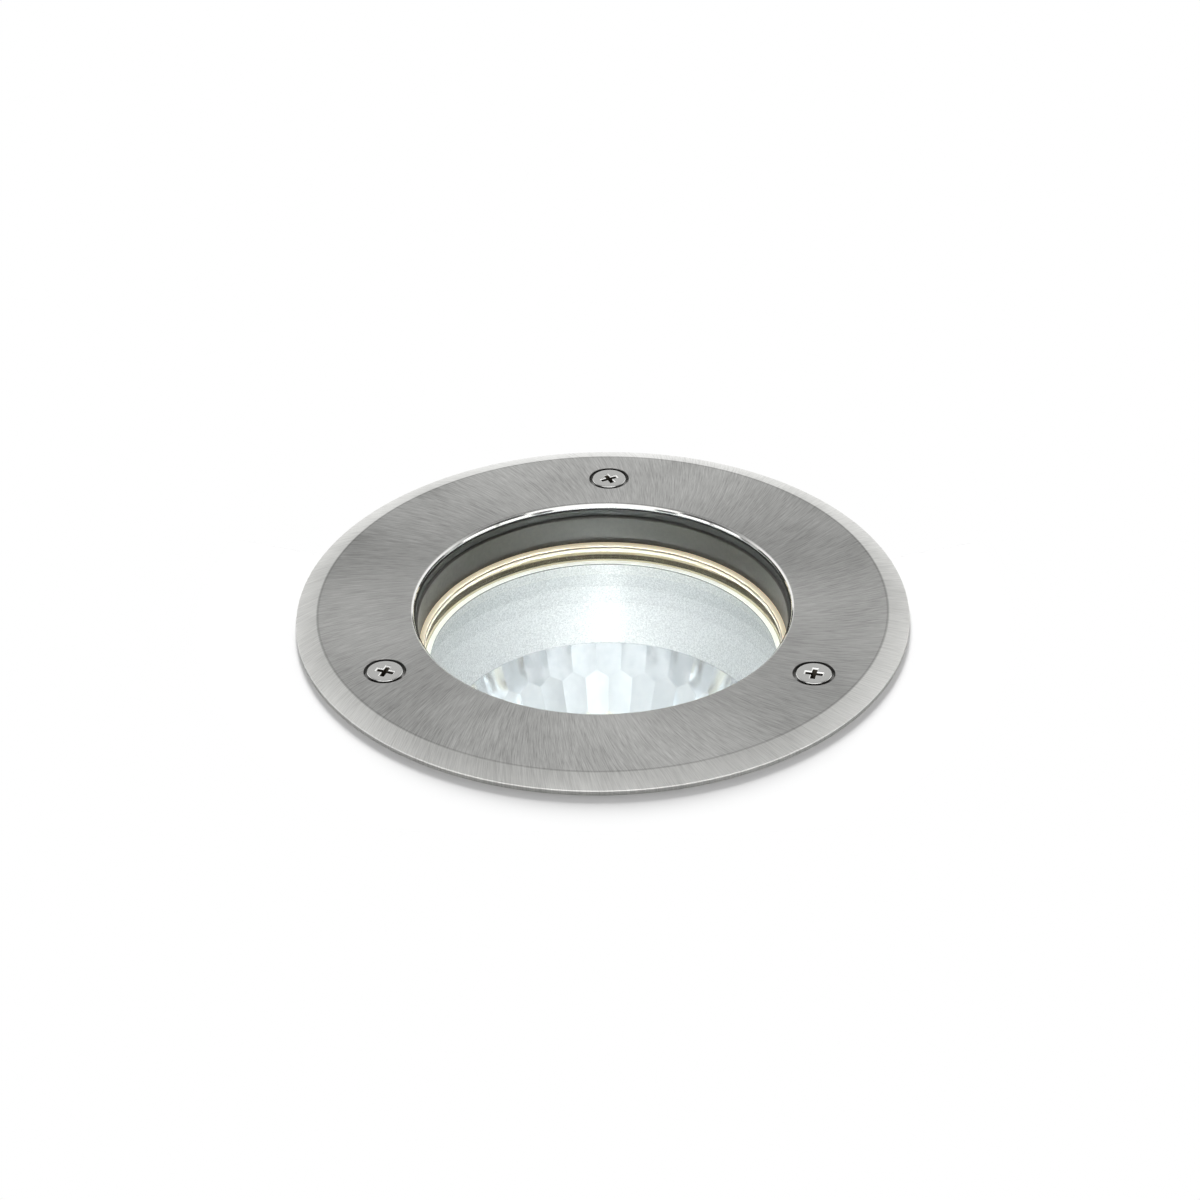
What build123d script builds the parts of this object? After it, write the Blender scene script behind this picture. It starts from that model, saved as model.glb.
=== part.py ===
from build123d import *
import math
import os

# Round walk-over light for paving, with a stainless cover ring over a cast pot.
# Millimetres, +Z up. The origin is the centre of the cover ring's underside, at paving level.

# Cover ring
TRIM_DIAMETER = 130.0
TRIM_RING_WIDTH = 25.0  # outer edge to opening
TRIM_HEIGHT = 2.5
TRIM_BEVEL_WIDTH = 4.5
TRIM_BEVEL_DROP = 1.5
TRIM_LIP = 1.2  # metal left over the seal at the opening
OPENING_ROUND = 0.6

# Cover screws, countersunk with a cross recess
SCREW_COUNT = 3
SCREW_FIRST_ANGLE = 90.0
SCREW_THREAD = 4.0
SCREW_LENGTH = 16.0
SCREW_HEAD_DIAMETER = 7.5
SCREW_HEAD_LAND = 0.2
SCREW_HEAD_SINK = 0.15  # head top below the ring's face
SCREW_SEAT_GAP = 0.15
SCREW_TIP_CHAMFER = 0.6
SCREW_HOLE_CLEARANCE = 0.25
SCREW_WALL = 6.8  # glass seat to screw axis
CROSS_WIDTH = 4.5
CROSS_WING = 1.2
CROSS_CORE = 2.2
CROSS_DEPTH = 2.2
CROSS_TIP_SHARE = 0.5  # recess width at its bottom over that at its top

# Seal, clamp ring, glass and its gasket
SEAL_THICKNESS = 1.7
SEAL_INSET = 0.3
CLAMP_HEIGHT = 6.6
CLAMP_INSET = 0.7
CLAMP_EDGE = 0.3
GLASS_OVERLAP = 2.7  # glass edge outside the clamp ring's wall
GLASS_THICKNESS = 5.0
GLASS_EDGE = 0.5
GASKET_LIP = 1.8
GASKET_LIP_FLAT = 0.1
GASKET_WEB = 2.0
GASKET_TOP_REACH = 3.8  # lip over the glass face
GASKET_FOOT_REACH = 4.0  # lip under the glass face

# Cast pot and the flange ring under its collar
SPIGOT_HEIGHT = 0.5  # reach of the flange ring up into the cover ring
SPIGOT_STEP = 1.0
FLANGE_DROP = 0.3
FLANGE_MARGIN = 6.9  # screw axis to flange edge
FLANGE_THICKNESS = 4.0
COLLAR_WIDTH = 1.0
COLLAR_HEIGHT = 2.0
NECK_WALL = 2.7
LEDGE_INSET = 0.2
LEDGE_THICKNESS = 3.5
POT_WALL = 2.8
POT_SHOULDER = 3.0
POT_FLOOR = 5.0
POT_FOOT_ROUND = 3.0
FLOOR_GRIP = 3.5  # thread length in the pot's floor
BOSS_DIAMETER = 9.2
BOSS_BOTTOM = 2.5  # metal below the screw tip
RIB_COUNT = 12
RIB_THICKNESS = 3.0
RIB_HEIGHT = 1.6
RIB_FOOT = 8.0  # rib end above the pot's bottom

# Frosted sleeve and faceted reflector
SLEEVE_HEIGHT = 19.7
SLEEVE_WALL = 1.0
SLEEVE_TAPER = 1.5
SLEEVE_GAP = 0.4
SLEEVE_GLASS_GAP = 0.3
SLEEVE_LIP_ROUND = 0.3
BOWL_DEPTH = 36.0
BOWL_WALL = 1.5
BOWL_NECK_DIAMETER = 16.0
BOWL_FLANGE = 2.0
BOWL_FLANGE_GAP = 0.6
BOWL_FOOT_WIDTH = 4.0
FACET_COUNT = 42
FACET_ROWS = 7

# Light source and its heat path
EMITTER_DIAMETER = 10.0
EMITTER_HEIGHT = 0.6
BOARD_SIDE = 16.0
BOARD_THICKNESS = 1.6
BOARD_FIT = 0.2
PAD_THICKNESS = 0.5
HOLDER_THICKNESS = 4.0
HOLDER_SCREW_GAP = 2.25  # reflector's foot to screw head
HOLDER_SCREW_INSET = 4.0  # screw axis to holder edge
PLATE_THICKNESS = 5.0
PLATE_GAP = 0.3
SKIRT_HEIGHT = 14.0
SKIRT_WALL = 3.0
POST_DIAMETER = 8.0
POST_WALL_GAP = 0.2
SMALL_THREAD = 3.0
SMALL_HEAD_DIAMETER = 5.5
SMALL_HEAD_HEIGHT = 2.2
SMALL_SOCKET = 2.5  # hexagon socket across flats
SMALL_SOCKET_DEPTH = 1.2
SMALL_GRIP = 6.0  # thread length in its tapped hole

# Driver, terminals and earth
DRIVER_HEIGHT = 16.0
DRIVER_WALL = 1.6
DRIVER_POST_GAP = 1.0
DRIVER_PAD = 1.0
POTTING_DROP = 1.0
WIRING_SPACE = 26.0
TERMINAL_LENGTH = 28.0
TERMINAL_WIDTH = 10.0
TERMINAL_HEIGHT = 14.0
TERMINAL_BASE = 3.0  # plastic under the contacts
TERMINAL_PITCH = 9.6
TERMINAL_GAP = 2.0
POLE_COUNT = 3
CONTACT_SIDE = 4.0
CONTACT_HEIGHT = 7.0
CONTACT_FIT = 0.2
CONTACT_BORE = 2.8
CONTACT_BORE_HEIGHT = 2.0  # bore axis above the contact's lower face
EARTH_GAP = 2.0
EARTH_THREAD = 4.0
EARTH_HEAD_DIAMETER = 7.0
EARTH_HEAD_HEIGHT = 2.6
EARTH_SLOT = 0.8
LUG_DIAMETER = 8.4
LUG_THICKNESS = 0.8
LUG_BARREL_WALL = 0.7
LUG_BARREL_HEIGHT = 6.0
LUG_REACH = 6.4

# Inner leads
LEAD_DIAMETER = 1.6
LEAD_BEND = 2.6
LEAD_FIT = 0.1
LEAD_SPACING = 3.4
LEAD_DIP = 6.0
LEAD_HOLE_DIAMETER = 7.0
LEAD_HOLE_INSET = 1.5
LEAD_SOCKET_DEPTH = 3.0

# Cable gland
GLAND_THREAD = 16.0
GLAND_HEX = 22.0
GLAND_HEX_HEIGHT = 6.0
GLAND_UPPER_LENGTH = 12.0
GLAND_NECK_LENGTH = 9.0
GLAND_BORE = 11.0
GLAND_SEAL_DEPTH = 8.0
GLAND_SEAL_WALL = 2.3
GLAND_SEAL_PROUD = 1.0
CABLE_DIAMETER = 8.0
LOCKNUT_HEIGHT = 5.0
WASHER_THICKNESS = 1.5
WASHER_WIDTH = 2.8
GLAND_NUT_HEX = 20.0
GLAND_NUT_HEX_HEIGHT = 8.0
GLAND_NUT_DOME = 6.0
GLAND_NUT_WALL = 2.0
GLAND_NUT_GAP = 0.5

# Clearances
MOVING_GAP = 0.3
THREAD_GAP = 0.05
HOLE_GAP = 0.2
FIT_GAP = 0.1
CUT_MARGIN = 1.0  # overrun of cutting tools past a face

# Radii worked out from the cover ring inwards
trim_r = TRIM_DIAMETER / 2
opening_r = trim_r - TRIM_RING_WIDTH
clamp_r = opening_r - CLAMP_INSET
glass_r = clamp_r + GLASS_OVERLAP
gasket_r = glass_r + GASKET_WEB
seat_r = gasket_r + MOVING_GAP
screw_circle_r = seat_r + SCREW_WALL
flange_r = screw_circle_r + FLANGE_MARGIN
spigot_r = flange_r - SPIGOT_STEP
neck_r = seat_r + NECK_WALL
collar_r = neck_r + COLLAR_WIDTH
foot_lip_r = glass_r - GASKET_FOOT_REACH
pot_bore_r = foot_lip_r + LEDGE_INSET
pot_r = pot_bore_r + POT_WALL
lower_bore_r = pot_bore_r - POT_SHOULDER
sleeve_top_r = foot_lip_r - SLEEVE_GAP - SLEEVE_WALL
bowl_rim_r = sleeve_top_r - SLEEVE_TAPER
bowl_neck_r = BOWL_NECK_DIAMETER / 2
plate_r = pot_bore_r - PLATE_GAP
post_circle_r = lower_bore_r - POST_DIAMETER / 2 - POST_WALL_GAP
holder_screw_x = bowl_neck_r + BOWL_FOOT_WIDTH + SMALL_HEAD_DIAMETER / 2 + HOLDER_SCREW_GAP
holder_r = holder_screw_x + HOLDER_SCREW_INSET
driver_r = post_circle_r - POST_DIAMETER / 2 - DRIVER_POST_GAP
lead_hole_y = post_circle_r - LEAD_HOLE_INSET
locknut_r = GLAND_HEX / 2 / math.cos(math.pi / 6)
washer_r = GLAND_THREAD / 2 + HOLE_GAP
terminal_y = locknut_r + TERMINAL_GAP + TERMINAL_WIDTH / 2
earth_y = -(locknut_r + EARTH_GAP + LUG_DIAMETER / 2)
lug_barrel_y = earth_y - LUG_REACH
lead_r = LEAD_DIAMETER / 2

# Heights worked out from the cover ring downwards
lip_z = TRIM_HEIGHT - TRIM_LIP
clamp_top_z = lip_z - SEAL_THICKNESS
gasket_top_z = clamp_top_z - CLAMP_HEIGHT
glass_top_z = gasket_top_z - GASKET_LIP
glass_bottom_z = glass_top_z - GLASS_THICKNESS
ledge_z = glass_bottom_z - GASKET_LIP
sleeve_top_z = glass_bottom_z - SLEEVE_GLASS_GAP
rim_z = sleeve_top_z - SLEEVE_HEIGHT
holder_top_z = rim_z - BOWL_DEPTH
plate_top_z = holder_top_z - HOLDER_THICKNESS
shoulder_z = plate_top_z - PLATE_THICKNESS
driver_top_z = shoulder_z - DRIVER_PAD
driver_bottom_z = driver_top_z - DRIVER_HEIGHT
potting_bottom_z = driver_bottom_z + POTTING_DROP
floor_z = driver_bottom_z - WIRING_SPACE
bottom_z = floor_z - POT_FLOOR
contact_low_z = floor_z + TERMINAL_BASE
contact_top_z = contact_low_z + CONTACT_HEIGHT
contact_bore_z = contact_low_z + CONTACT_BORE_HEIGHT
terminal_top_z = floor_z + TERMINAL_HEIGHT
lug_top_z = floor_z + LUG_THICKNESS
collar_low_z = SPIGOT_HEIGHT - COLLAR_HEIGHT
flange_low_z = -FLANGE_DROP - FLANGE_THICKNESS
pad_top_z = plate_top_z + PAD_THICKNESS
board_top_z = pad_top_z + BOARD_THICKNESS
screw_top_z = TRIM_HEIGHT - SCREW_HEAD_SINK
screw_tip_z = screw_top_z - SCREW_LENGTH
hex_top_z = bottom_z - WASHER_THICKNESS
hex_bottom_z = hex_top_z - GLAND_HEX_HEIGHT
neck_end_z = hex_bottom_z - GLAND_NECK_LENGTH
seal_top_z = neck_end_z + GLAND_SEAL_DEPTH
seal_end_z = neck_end_z - GLAND_SEAL_PROUD


def turned(points, radii=None):
    """Solid turned about Z from a closed outline of (radius, height) points with optional corner radii."""
    outline = [(r, 0, z) for r, z in points]
    if radii is None:
        wire = Polyline(*outline, close=True)
    else:
        wire = FilletPolyline(*outline, radius=radii, close=True)
    return revolve(make_face(wire), Axis.Z)


def tube(outer_r, inner_r, top_z, low_z):
    """Plain ring about Z between two heights."""
    return turned([(inner_r, low_z), (outer_r, low_z), (outer_r, top_z), (inner_r, top_z)])


def rod(radius, top_z, low_z, x=0.0, y=0.0):
    """Upright cylinder between two heights."""
    height = top_z - low_z
    return Pos(x, y, low_z + height / 2) * Cylinder(radius, height)


def block(size_x, size_y, top_z, low_z, x=0.0, y=0.0):
    """Upright box between two heights."""
    height = top_z - low_z
    return Pos(x, y, low_z + height / 2) * Box(size_x, size_y, height)


def hexagon(across_flats, top_z, low_z):
    """Upright hexagonal bar between two heights."""
    shape = RegularPolygon(across_flats / 2, 6, major_radius=False)
    return Pos(0, 0, low_z) * extrude(shape, amount=top_z - low_z)


def screw_places():
    """Cover screw axes, evenly spaced on their circle."""
    places = []
    for index in range(SCREW_COUNT):
        angle = math.radians(SCREW_FIRST_ANGLE + 360.0 * index / SCREW_COUNT)
        places.append((screw_circle_r * math.cos(angle), screw_circle_r * math.sin(angle)))
    return places


def screw_cavity(hole_r, end_z):
    """Countersunk hole on Z that a cover screw sits in, open above the cover ring."""
    seat_edge_r = SCREW_HEAD_DIAMETER / 2 + SCREW_SEAT_GAP
    seat_edge_z = screw_top_z - SCREW_HEAD_LAND
    mouth_z = TRIM_HEIGHT + CUT_MARGIN
    mouth_r = seat_edge_r + mouth_z - seat_edge_z
    throat_z = seat_edge_z - (seat_edge_r - hole_r)
    return turned([(0, end_z), (hole_r, end_z), (hole_r, throat_z), (mouth_r, mouth_z), (0, mouth_z)])


def make_trim_ring():
    """Cover ring: flat face, bevelled edge, rounded opening, stepped underside."""
    recess_r = flange_r + MOVING_GAP
    points = [
        (recess_r, 0),
        (trim_r, 0),
        (trim_r, TRIM_HEIGHT - TRIM_BEVEL_DROP),
        (trim_r - TRIM_BEVEL_WIDTH, TRIM_HEIGHT),
        (opening_r, TRIM_HEIGHT),
        (opening_r, lip_z),
        (seat_r, lip_z),
        (seat_r, SPIGOT_HEIGHT),
        (recess_r, SPIGOT_HEIGHT),
    ]
    rounds = [0, 0, 0, 0, min(OPENING_ROUND, TRIM_LIP / 2), 0, 0, 0, 0]
    ring = turned(points, rounds)
    hole = screw_cavity(SCREW_THREAD / 2 + SCREW_HOLE_CLEARANCE, -CUT_MARGIN)
    for x, y in screw_places():
        ring -= Pos(x, y, 0) * hole
    return ring


def make_cross_recess():
    """Tapered cross that the screwdriver enters, with its mouth at the head's top."""
    low_z = screw_top_z - CROSS_DEPTH
    mouth_z = screw_top_z + CUT_MARGIN
    wings = block(CROSS_WIDTH * 2, CROSS_WING, mouth_z, low_z)
    wings += block(CROSS_WING, CROSS_WIDTH * 2, mouth_z, low_z)
    wings += rod(CROSS_CORE / 2, mouth_z, low_z)
    half = CROSS_WIDTH / 2
    taper = half * (1 - CROSS_TIP_SHARE) / CROSS_DEPTH
    mouth_half = half + taper * CUT_MARGIN
    limit = turned([(0, low_z), (half * CROSS_TIP_SHARE, low_z), (mouth_half, mouth_z), (0, mouth_z)])
    return wings & limit


def make_trim_screw():
    """Countersunk machine screw on Z with a plain shank standing for its thread."""
    head_r = SCREW_HEAD_DIAMETER / 2
    thread_r = SCREW_THREAD / 2
    land_z = screw_top_z - SCREW_HEAD_LAND
    points = [
        (0, screw_tip_z),
        (thread_r - SCREW_TIP_CHAMFER, screw_tip_z),
        (thread_r, screw_tip_z + SCREW_TIP_CHAMFER),
        (thread_r, land_z - (head_r - thread_r)),
        (head_r, land_z),
        (head_r, screw_top_z),
        (0, screw_top_z),
    ]
    return turned(points) - make_cross_recess()


def make_clamp_ring():
    """Grey ring whose inner wall is the side of the recess."""
    points = [
        (clamp_r, gasket_top_z),
        (gasket_r, gasket_top_z),
        (gasket_r, clamp_top_z),
        (clamp_r + CLAMP_EDGE, clamp_top_z),
        (clamp_r, clamp_top_z - CLAMP_EDGE),
    ]
    return turned(points)


def make_lens_gasket():
    """Soft U-section ring that holds the edge of the glass between two lips."""
    lip_r = glass_r - GASKET_TOP_REACH
    groove_r = glass_r + FIT_GAP
    nose = (GASKET_LIP - GASKET_LIP_FLAT) / 2
    points = [
        (lip_r, gasket_top_z),
        (gasket_r, gasket_top_z),
        (gasket_r, ledge_z),
        (foot_lip_r, ledge_z),
        (foot_lip_r, glass_bottom_z),
        (groove_r, glass_bottom_z),
        (groove_r, glass_top_z),
        (lip_r, glass_top_z),
    ]
    return turned(points, [nose, 0, 0, nose, nose, 0, 0, nose])


def make_glass_lens():
    """Toughened glass disc with ground edges."""
    inner = glass_r - GLASS_EDGE
    points = [
        (0, glass_bottom_z),
        (inner, glass_bottom_z),
        (glass_r, glass_bottom_z + GLASS_EDGE),
        (glass_r, glass_top_z - GLASS_EDGE),
        (inner, glass_top_z),
        (0, glass_top_z),
    ]
    return turned(points)


def make_housing():
    """Cast pot with collar, glass seat, low ribs and a floor with tapped holes."""
    neck_low_z = ledge_z - LEDGE_THICKNESS
    cone_z = neck_low_z - (neck_r - pot_r)
    points = [
        (0, bottom_z),
        (pot_r, bottom_z),
        (pot_r, cone_z),
        (neck_r, neck_low_z),
        (neck_r, collar_low_z),
        (collar_r, collar_low_z),
        (collar_r, SPIGOT_HEIGHT),
        (seat_r, SPIGOT_HEIGHT),
        (seat_r, ledge_z),
        (pot_bore_r, ledge_z),
        (pot_bore_r, shoulder_z),
        (lower_bore_r, shoulder_z),
        (lower_bore_r, floor_z),
        (0, floor_z),
    ]
    pot = turned(points, [0, POT_FOOT_ROUND] + [0] * (len(points) - 2))
    rib_in = pot_r - POT_WALL / 2
    rib_out = pot_r + RIB_HEIGHT
    rib = block(rib_out - rib_in, RIB_THICKNESS, neck_low_z, bottom_z + RIB_FOOT, (rib_in + rib_out) / 2)
    for index in range(RIB_COUNT):
        pot += Rot(0, 0, 360.0 * (index + 0.5) / RIB_COUNT) * rib
    hole_low_z = floor_z - FLOOR_GRIP - HOLE_GAP
    small_hole_r = SMALL_THREAD / 2 + THREAD_GAP
    for side in (-1, 1):
        pot -= rod(small_hole_r, floor_z, hole_low_z, side * post_circle_r)
    for x in terminal_screw_x():
        pot -= rod(small_hole_r, floor_z, hole_low_z, x, terminal_y)
    pot -= rod(EARTH_THREAD / 2 + THREAD_GAP, floor_z, hole_low_z, 0, earth_y)
    pot -= rod(GLAND_THREAD / 2 + HOLE_GAP, floor_z + CUT_MARGIN, bottom_z - CUT_MARGIN)
    return pot


def make_flange_ring():
    """Ring pressed on the pot's neck up to its collar, with tapped bosses for the cover screws."""
    bore_r = neck_r + FIT_GAP
    step_r = collar_r + FIT_GAP
    points = [
        (bore_r, flange_low_z),
        (flange_r, flange_low_z),
        (flange_r, -FLANGE_DROP),
        (spigot_r, -FLANGE_DROP),
        (spigot_r, SPIGOT_HEIGHT),
        (step_r, SPIGOT_HEIGHT),
        (step_r, collar_low_z),
        (bore_r, collar_low_z),
    ]
    ring = turned(points)
    boss_low_z = screw_tip_z - BOSS_BOTTOM
    neck_cut = rod(bore_r, flange_low_z, boss_low_z)
    tapped = screw_cavity(SCREW_THREAD / 2 + THREAD_GAP, screw_tip_z - BOSS_BOTTOM / 2)
    for x, y in screw_places():
        ring += rod(BOSS_DIAMETER / 2, flange_low_z, boss_low_z, x, y) - neck_cut
        ring -= Pos(x, y, 0) * tapped
    return ring


def make_plate_standoffs():
    """Two threaded posts from the pot's floor up to the plate."""
    posts = []
    for side in (-1, 1):
        x = side * post_circle_r
        post = rod(POST_DIAMETER / 2, shoulder_z, floor_z, x)
        post += rod(SMALL_THREAD / 2, floor_z, floor_z - FLOOR_GRIP, x)
        post -= rod(SMALL_THREAD / 2 + THREAD_GAP, shoulder_z, shoulder_z - SMALL_GRIP - HOLE_GAP, x)
        posts.append(post)
    return posts


def make_glare_sleeve():
    """Frosted tapering sleeve between reflector and glass, with a rounded polished lip."""
    points = [
        (bowl_rim_r, rim_z),
        (bowl_rim_r + SLEEVE_WALL, rim_z),
        (sleeve_top_r + SLEEVE_WALL, sleeve_top_z),
        (sleeve_top_r, sleeve_top_z),
    ]
    return turned(points, [0, 0, SLEEVE_LIP_ROUND, SLEEVE_LIP_ROUND])


def bowl_height(radius):
    """Height of the parabolic bowl above its lower end at a radius."""
    return BOWL_DEPTH * (radius**2 - bowl_neck_r**2) / (bowl_rim_r**2 - bowl_neck_r**2)


def make_reflector_bowl():
    """Parabolic bowl, smooth outside and cut into flat facets inside."""
    low_r = bowl_neck_r + BOWL_WALL
    rim_r = bowl_rim_r + BOWL_WALL
    low_slope = BOWL_DEPTH * 2 * bowl_neck_r / (bowl_rim_r**2 - bowl_neck_r**2)
    bend_r = (low_r + rim_r) / 2
    bend_z = holder_top_z + low_slope * (bend_r - low_r)
    curve = Bezier((low_r, 0, holder_top_z), (bend_r, 0, bend_z), (rim_r, 0, rim_z))
    sides = Polyline((rim_r, 0, rim_z), (0, 0, rim_z), (0, 0, holder_top_z), (low_r, 0, holder_top_z))
    bowl = revolve(make_face(curve + sides), Axis.Z)
    bowl += rod(pot_bore_r - BOWL_FLANGE_GAP, rim_z, rim_z - BOWL_FLANGE)
    bowl += rod(bowl_neck_r + BOWL_FOOT_WIDTH, holder_top_z + BOWL_FLANGE, holder_top_z)
    rings = []
    for row in range(FACET_ROWS + 1):
        radius = bowl_neck_r + (bowl_rim_r - bowl_neck_r) * row / FACET_ROWS
        place = Pos(0, 0, holder_top_z + bowl_height(radius))
        rings.append(place * RegularPolygon(radius, FACET_COUNT))
    return bowl - loft(rings, ruled=True)


def make_led_board():
    """Square metal-core board that carries the emitter."""
    return block(BOARD_SIDE, BOARD_SIDE, board_top_z, pad_top_z)


def lead_ends():
    """X places of the two leads that feed the light source."""
    return (-LEAD_SPACING / 2, LEAD_SPACING / 2)


def lead_socket_z():
    """Height of the lead sockets in the holder's edge."""
    return plate_top_z + HOLDER_THICKNESS / 2


def make_led_holder():
    """Disc that presses the board down, with a window for the light and sockets for the leads."""
    holder = tube(holder_r, bowl_neck_r, holder_top_z, plate_top_z)
    pocket = BOARD_SIDE + 2 * BOARD_FIT
    holder -= block(pocket, pocket, board_top_z, plate_top_z)
    for side in (-1, 1):
        x = side * holder_screw_x
        holder -= rod(SMALL_THREAD / 2 + HOLE_GAP, holder_top_z, plate_top_z, x)
    for x in lead_ends():
        socket = Rot(90, 0, 0) * Cylinder(lead_r + LEAD_FIT, 2 * LEAD_SOCKET_DEPTH)
        holder -= Pos(x, holder_r, lead_socket_z()) * socket
    return holder


def make_small_screw(seat_z, grip_z, x, y=0.0):
    """Socket-head screw whose head stands on a seat and whose shank ends at grip_z."""
    head_top_z = seat_z + SMALL_HEAD_HEIGHT
    screw = rod(SMALL_HEAD_DIAMETER / 2, head_top_z, seat_z)
    screw += rod(SMALL_THREAD / 2, seat_z, grip_z)
    screw -= hexagon(SMALL_SOCKET, head_top_z, head_top_z - SMALL_SOCKET_DEPTH)
    return Pos(x, y, 0) * screw


def make_led_holder_screws():
    """Two screws that pull the holder down on the plate."""
    grip_z = plate_top_z - PLATE_THICKNESS + HOLE_GAP
    return [make_small_screw(holder_top_z, grip_z, side * holder_screw_x) for side in (-1, 1)]


def make_heat_sink():
    """Aluminium plate on the pot's shoulder with a skirt that passes heat to the wall."""
    sink = rod(plate_r, plate_top_z, shoulder_z)
    sink += tube(plate_r, plate_r - SKIRT_WALL, plate_top_z + SKIRT_HEIGHT, plate_top_z)
    for side in (-1, 1):
        sink -= rod(SMALL_THREAD / 2 + HOLE_GAP, plate_top_z, shoulder_z, side * post_circle_r)
        sink -= rod(SMALL_THREAD / 2 + THREAD_GAP, plate_top_z, shoulder_z, side * holder_screw_x)
    sink -= rod(LEAD_HOLE_DIAMETER / 2, plate_top_z, shoulder_z, 0, lead_hole_y)
    return sink


def make_heat_sink_screws():
    """Two screws that fix the plate to its posts."""
    grip_z = shoulder_z - SMALL_GRIP
    return [make_small_screw(plate_top_z, grip_z, side * post_circle_r) for side in (-1, 1)]


def make_driver_case():
    """Round plastic case, closed at the top and open below for its potting."""
    case = rod(driver_r, driver_top_z, driver_bottom_z)
    return case - rod(driver_r - DRIVER_WALL, driver_top_z - DRIVER_WALL, driver_bottom_z)


def make_driver_potting():
    """Resin block that fills the driver case and lets the leads out below."""
    return rod(driver_r - DRIVER_WALL - FIT_GAP, driver_top_z - DRIVER_WALL, potting_bottom_z)


def terminal_pole_x():
    """X places of the terminal block's poles."""
    middle = (POLE_COUNT - 1) / 2
    return [(index - middle) * TERMINAL_PITCH for index in range(POLE_COUNT)]


def terminal_screw_x():
    """X places of the two screws that fix the terminal block, between its poles."""
    return (-TERMINAL_PITCH / 2, TERMINAL_PITCH / 2)


def make_terminal_block():
    """Plastic block with open pockets for its contacts and cable entries at the side."""
    body = block(TERMINAL_LENGTH, TERMINAL_WIDTH, terminal_top_z, floor_z, 0, terminal_y)
    pocket = CONTACT_SIDE + 2 * CONTACT_FIT
    entry_y = terminal_y - TERMINAL_WIDTH / 2
    for x in terminal_pole_x():
        body -= block(pocket, pocket, terminal_top_z, contact_low_z, x, terminal_y)
        entry = Rot(90, 0, 0) * Cylinder(CONTACT_BORE / 2, TERMINAL_WIDTH)
        body -= Pos(x, entry_y, contact_bore_z) * entry
    for x in terminal_screw_x():
        body -= rod(SMALL_THREAD / 2 + HOLE_GAP, terminal_top_z, floor_z, x, terminal_y)
    return body


def make_terminal_contacts():
    """Brass blocks in the terminal's pockets, bored at the side for the cable and on top for the leads."""
    contacts = []
    for x in terminal_pole_x():
        contact = block(CONTACT_SIDE, CONTACT_SIDE, contact_top_z, contact_low_z, x, terminal_y)
        bore = Rot(90, 0, 0) * Cylinder(CONTACT_BORE / 2, TERMINAL_WIDTH)
        contact -= Pos(x, terminal_y, contact_bore_z) * bore
        contact -= rod(lead_r + LEAD_FIT, contact_top_z, contact_top_z - LEAD_SOCKET_DEPTH, x, terminal_y)
        contacts.append(contact)
    return contacts


def make_terminal_screws():
    """Two screws that fix the terminal block to the pot's floor."""
    grip_z = floor_z - FLOOR_GRIP
    return [make_small_screw(terminal_top_z, grip_z, x, terminal_y) for x in terminal_screw_x()]


def make_earth_lug():
    """Ring terminal under the earth screw, with an upright crimp barrel for the lead."""
    barrel_r = lead_r + LEAD_FIT + LUG_BARREL_WALL
    barrel_top_z = lug_top_z + LUG_BARREL_HEIGHT
    lug = rod(LUG_DIAMETER / 2, lug_top_z, floor_z, 0, earth_y)
    lug += block(2 * barrel_r, LUG_REACH, lug_top_z, floor_z, 0, (earth_y + lug_barrel_y) / 2)
    lug += rod(barrel_r, barrel_top_z, floor_z, 0, lug_barrel_y)
    lug -= rod(EARTH_THREAD / 2 + HOLE_GAP, lug_top_z, floor_z, 0, earth_y)
    return lug - rod(lead_r + LEAD_FIT, barrel_top_z, lug_top_z, 0, lug_barrel_y)


def make_earth_screw():
    """Slotted pan-head screw that holds the earth lug on the pot's floor."""
    head_top_z = lug_top_z + EARTH_HEAD_HEIGHT
    screw = rod(EARTH_HEAD_DIAMETER / 2, head_top_z, lug_top_z, 0, earth_y)
    screw = fillet(screw.edges().group_by(Axis.Z)[-1], EARTH_HEAD_HEIGHT / 3)
    slot_z = head_top_z - EARTH_HEAD_HEIGHT / 2
    screw -= block(EARTH_HEAD_DIAMETER * 2, EARTH_SLOT, head_top_z, slot_z, 0, earth_y)
    return screw + rod(EARTH_THREAD / 2, lug_top_z, floor_z - FLOOR_GRIP, 0, earth_y)


def make_lead(points):
    """Round lead along straight runs joined by bends."""
    path = FilletPolyline(*points, radius=LEAD_BEND)
    section = Plane(origin=path @ 0, z_dir=path % 0) * Circle(lead_r)
    return sweep(section, path=path)


def make_led_leads():
    """Pair of leads from the driver, up through the plate, into the holder's sockets."""
    start_y = lead_hole_y - LEAD_HOLE_DIAMETER
    end_y = holder_r - LEAD_SOCKET_DEPTH + LEAD_FIT
    dip_z = potting_bottom_z - LEAD_DIP
    leads = []
    for x in lead_ends():
        points = [
            (x, start_y, potting_bottom_z),
            (x, start_y, dip_z),
            (x, lead_hole_y, dip_z),
            (x, lead_hole_y, lead_socket_z()),
            (x, end_y, lead_socket_z()),
        ]
        leads.append(make_lead(points))
    return leads


def make_driver_leads():
    """Supply leads that drop from the driver into the terminal block's outer poles."""
    poles = terminal_pole_x()
    end_z = contact_top_z - LEAD_SOCKET_DEPTH + LEAD_FIT
    jog_z = (potting_bottom_z + terminal_top_z) / 2
    leads = []
    for x in (poles[0], poles[-1]):
        start_y = terminal_y - 2 * LEAD_BEND - LEAD_DIAMETER
        points = [
            (x, start_y, potting_bottom_z),
            (x, start_y, jog_z),
            (x, terminal_y, jog_z),
            (x, terminal_y, end_z),
        ]
        leads.append(make_lead(points))
    return leads


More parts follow.
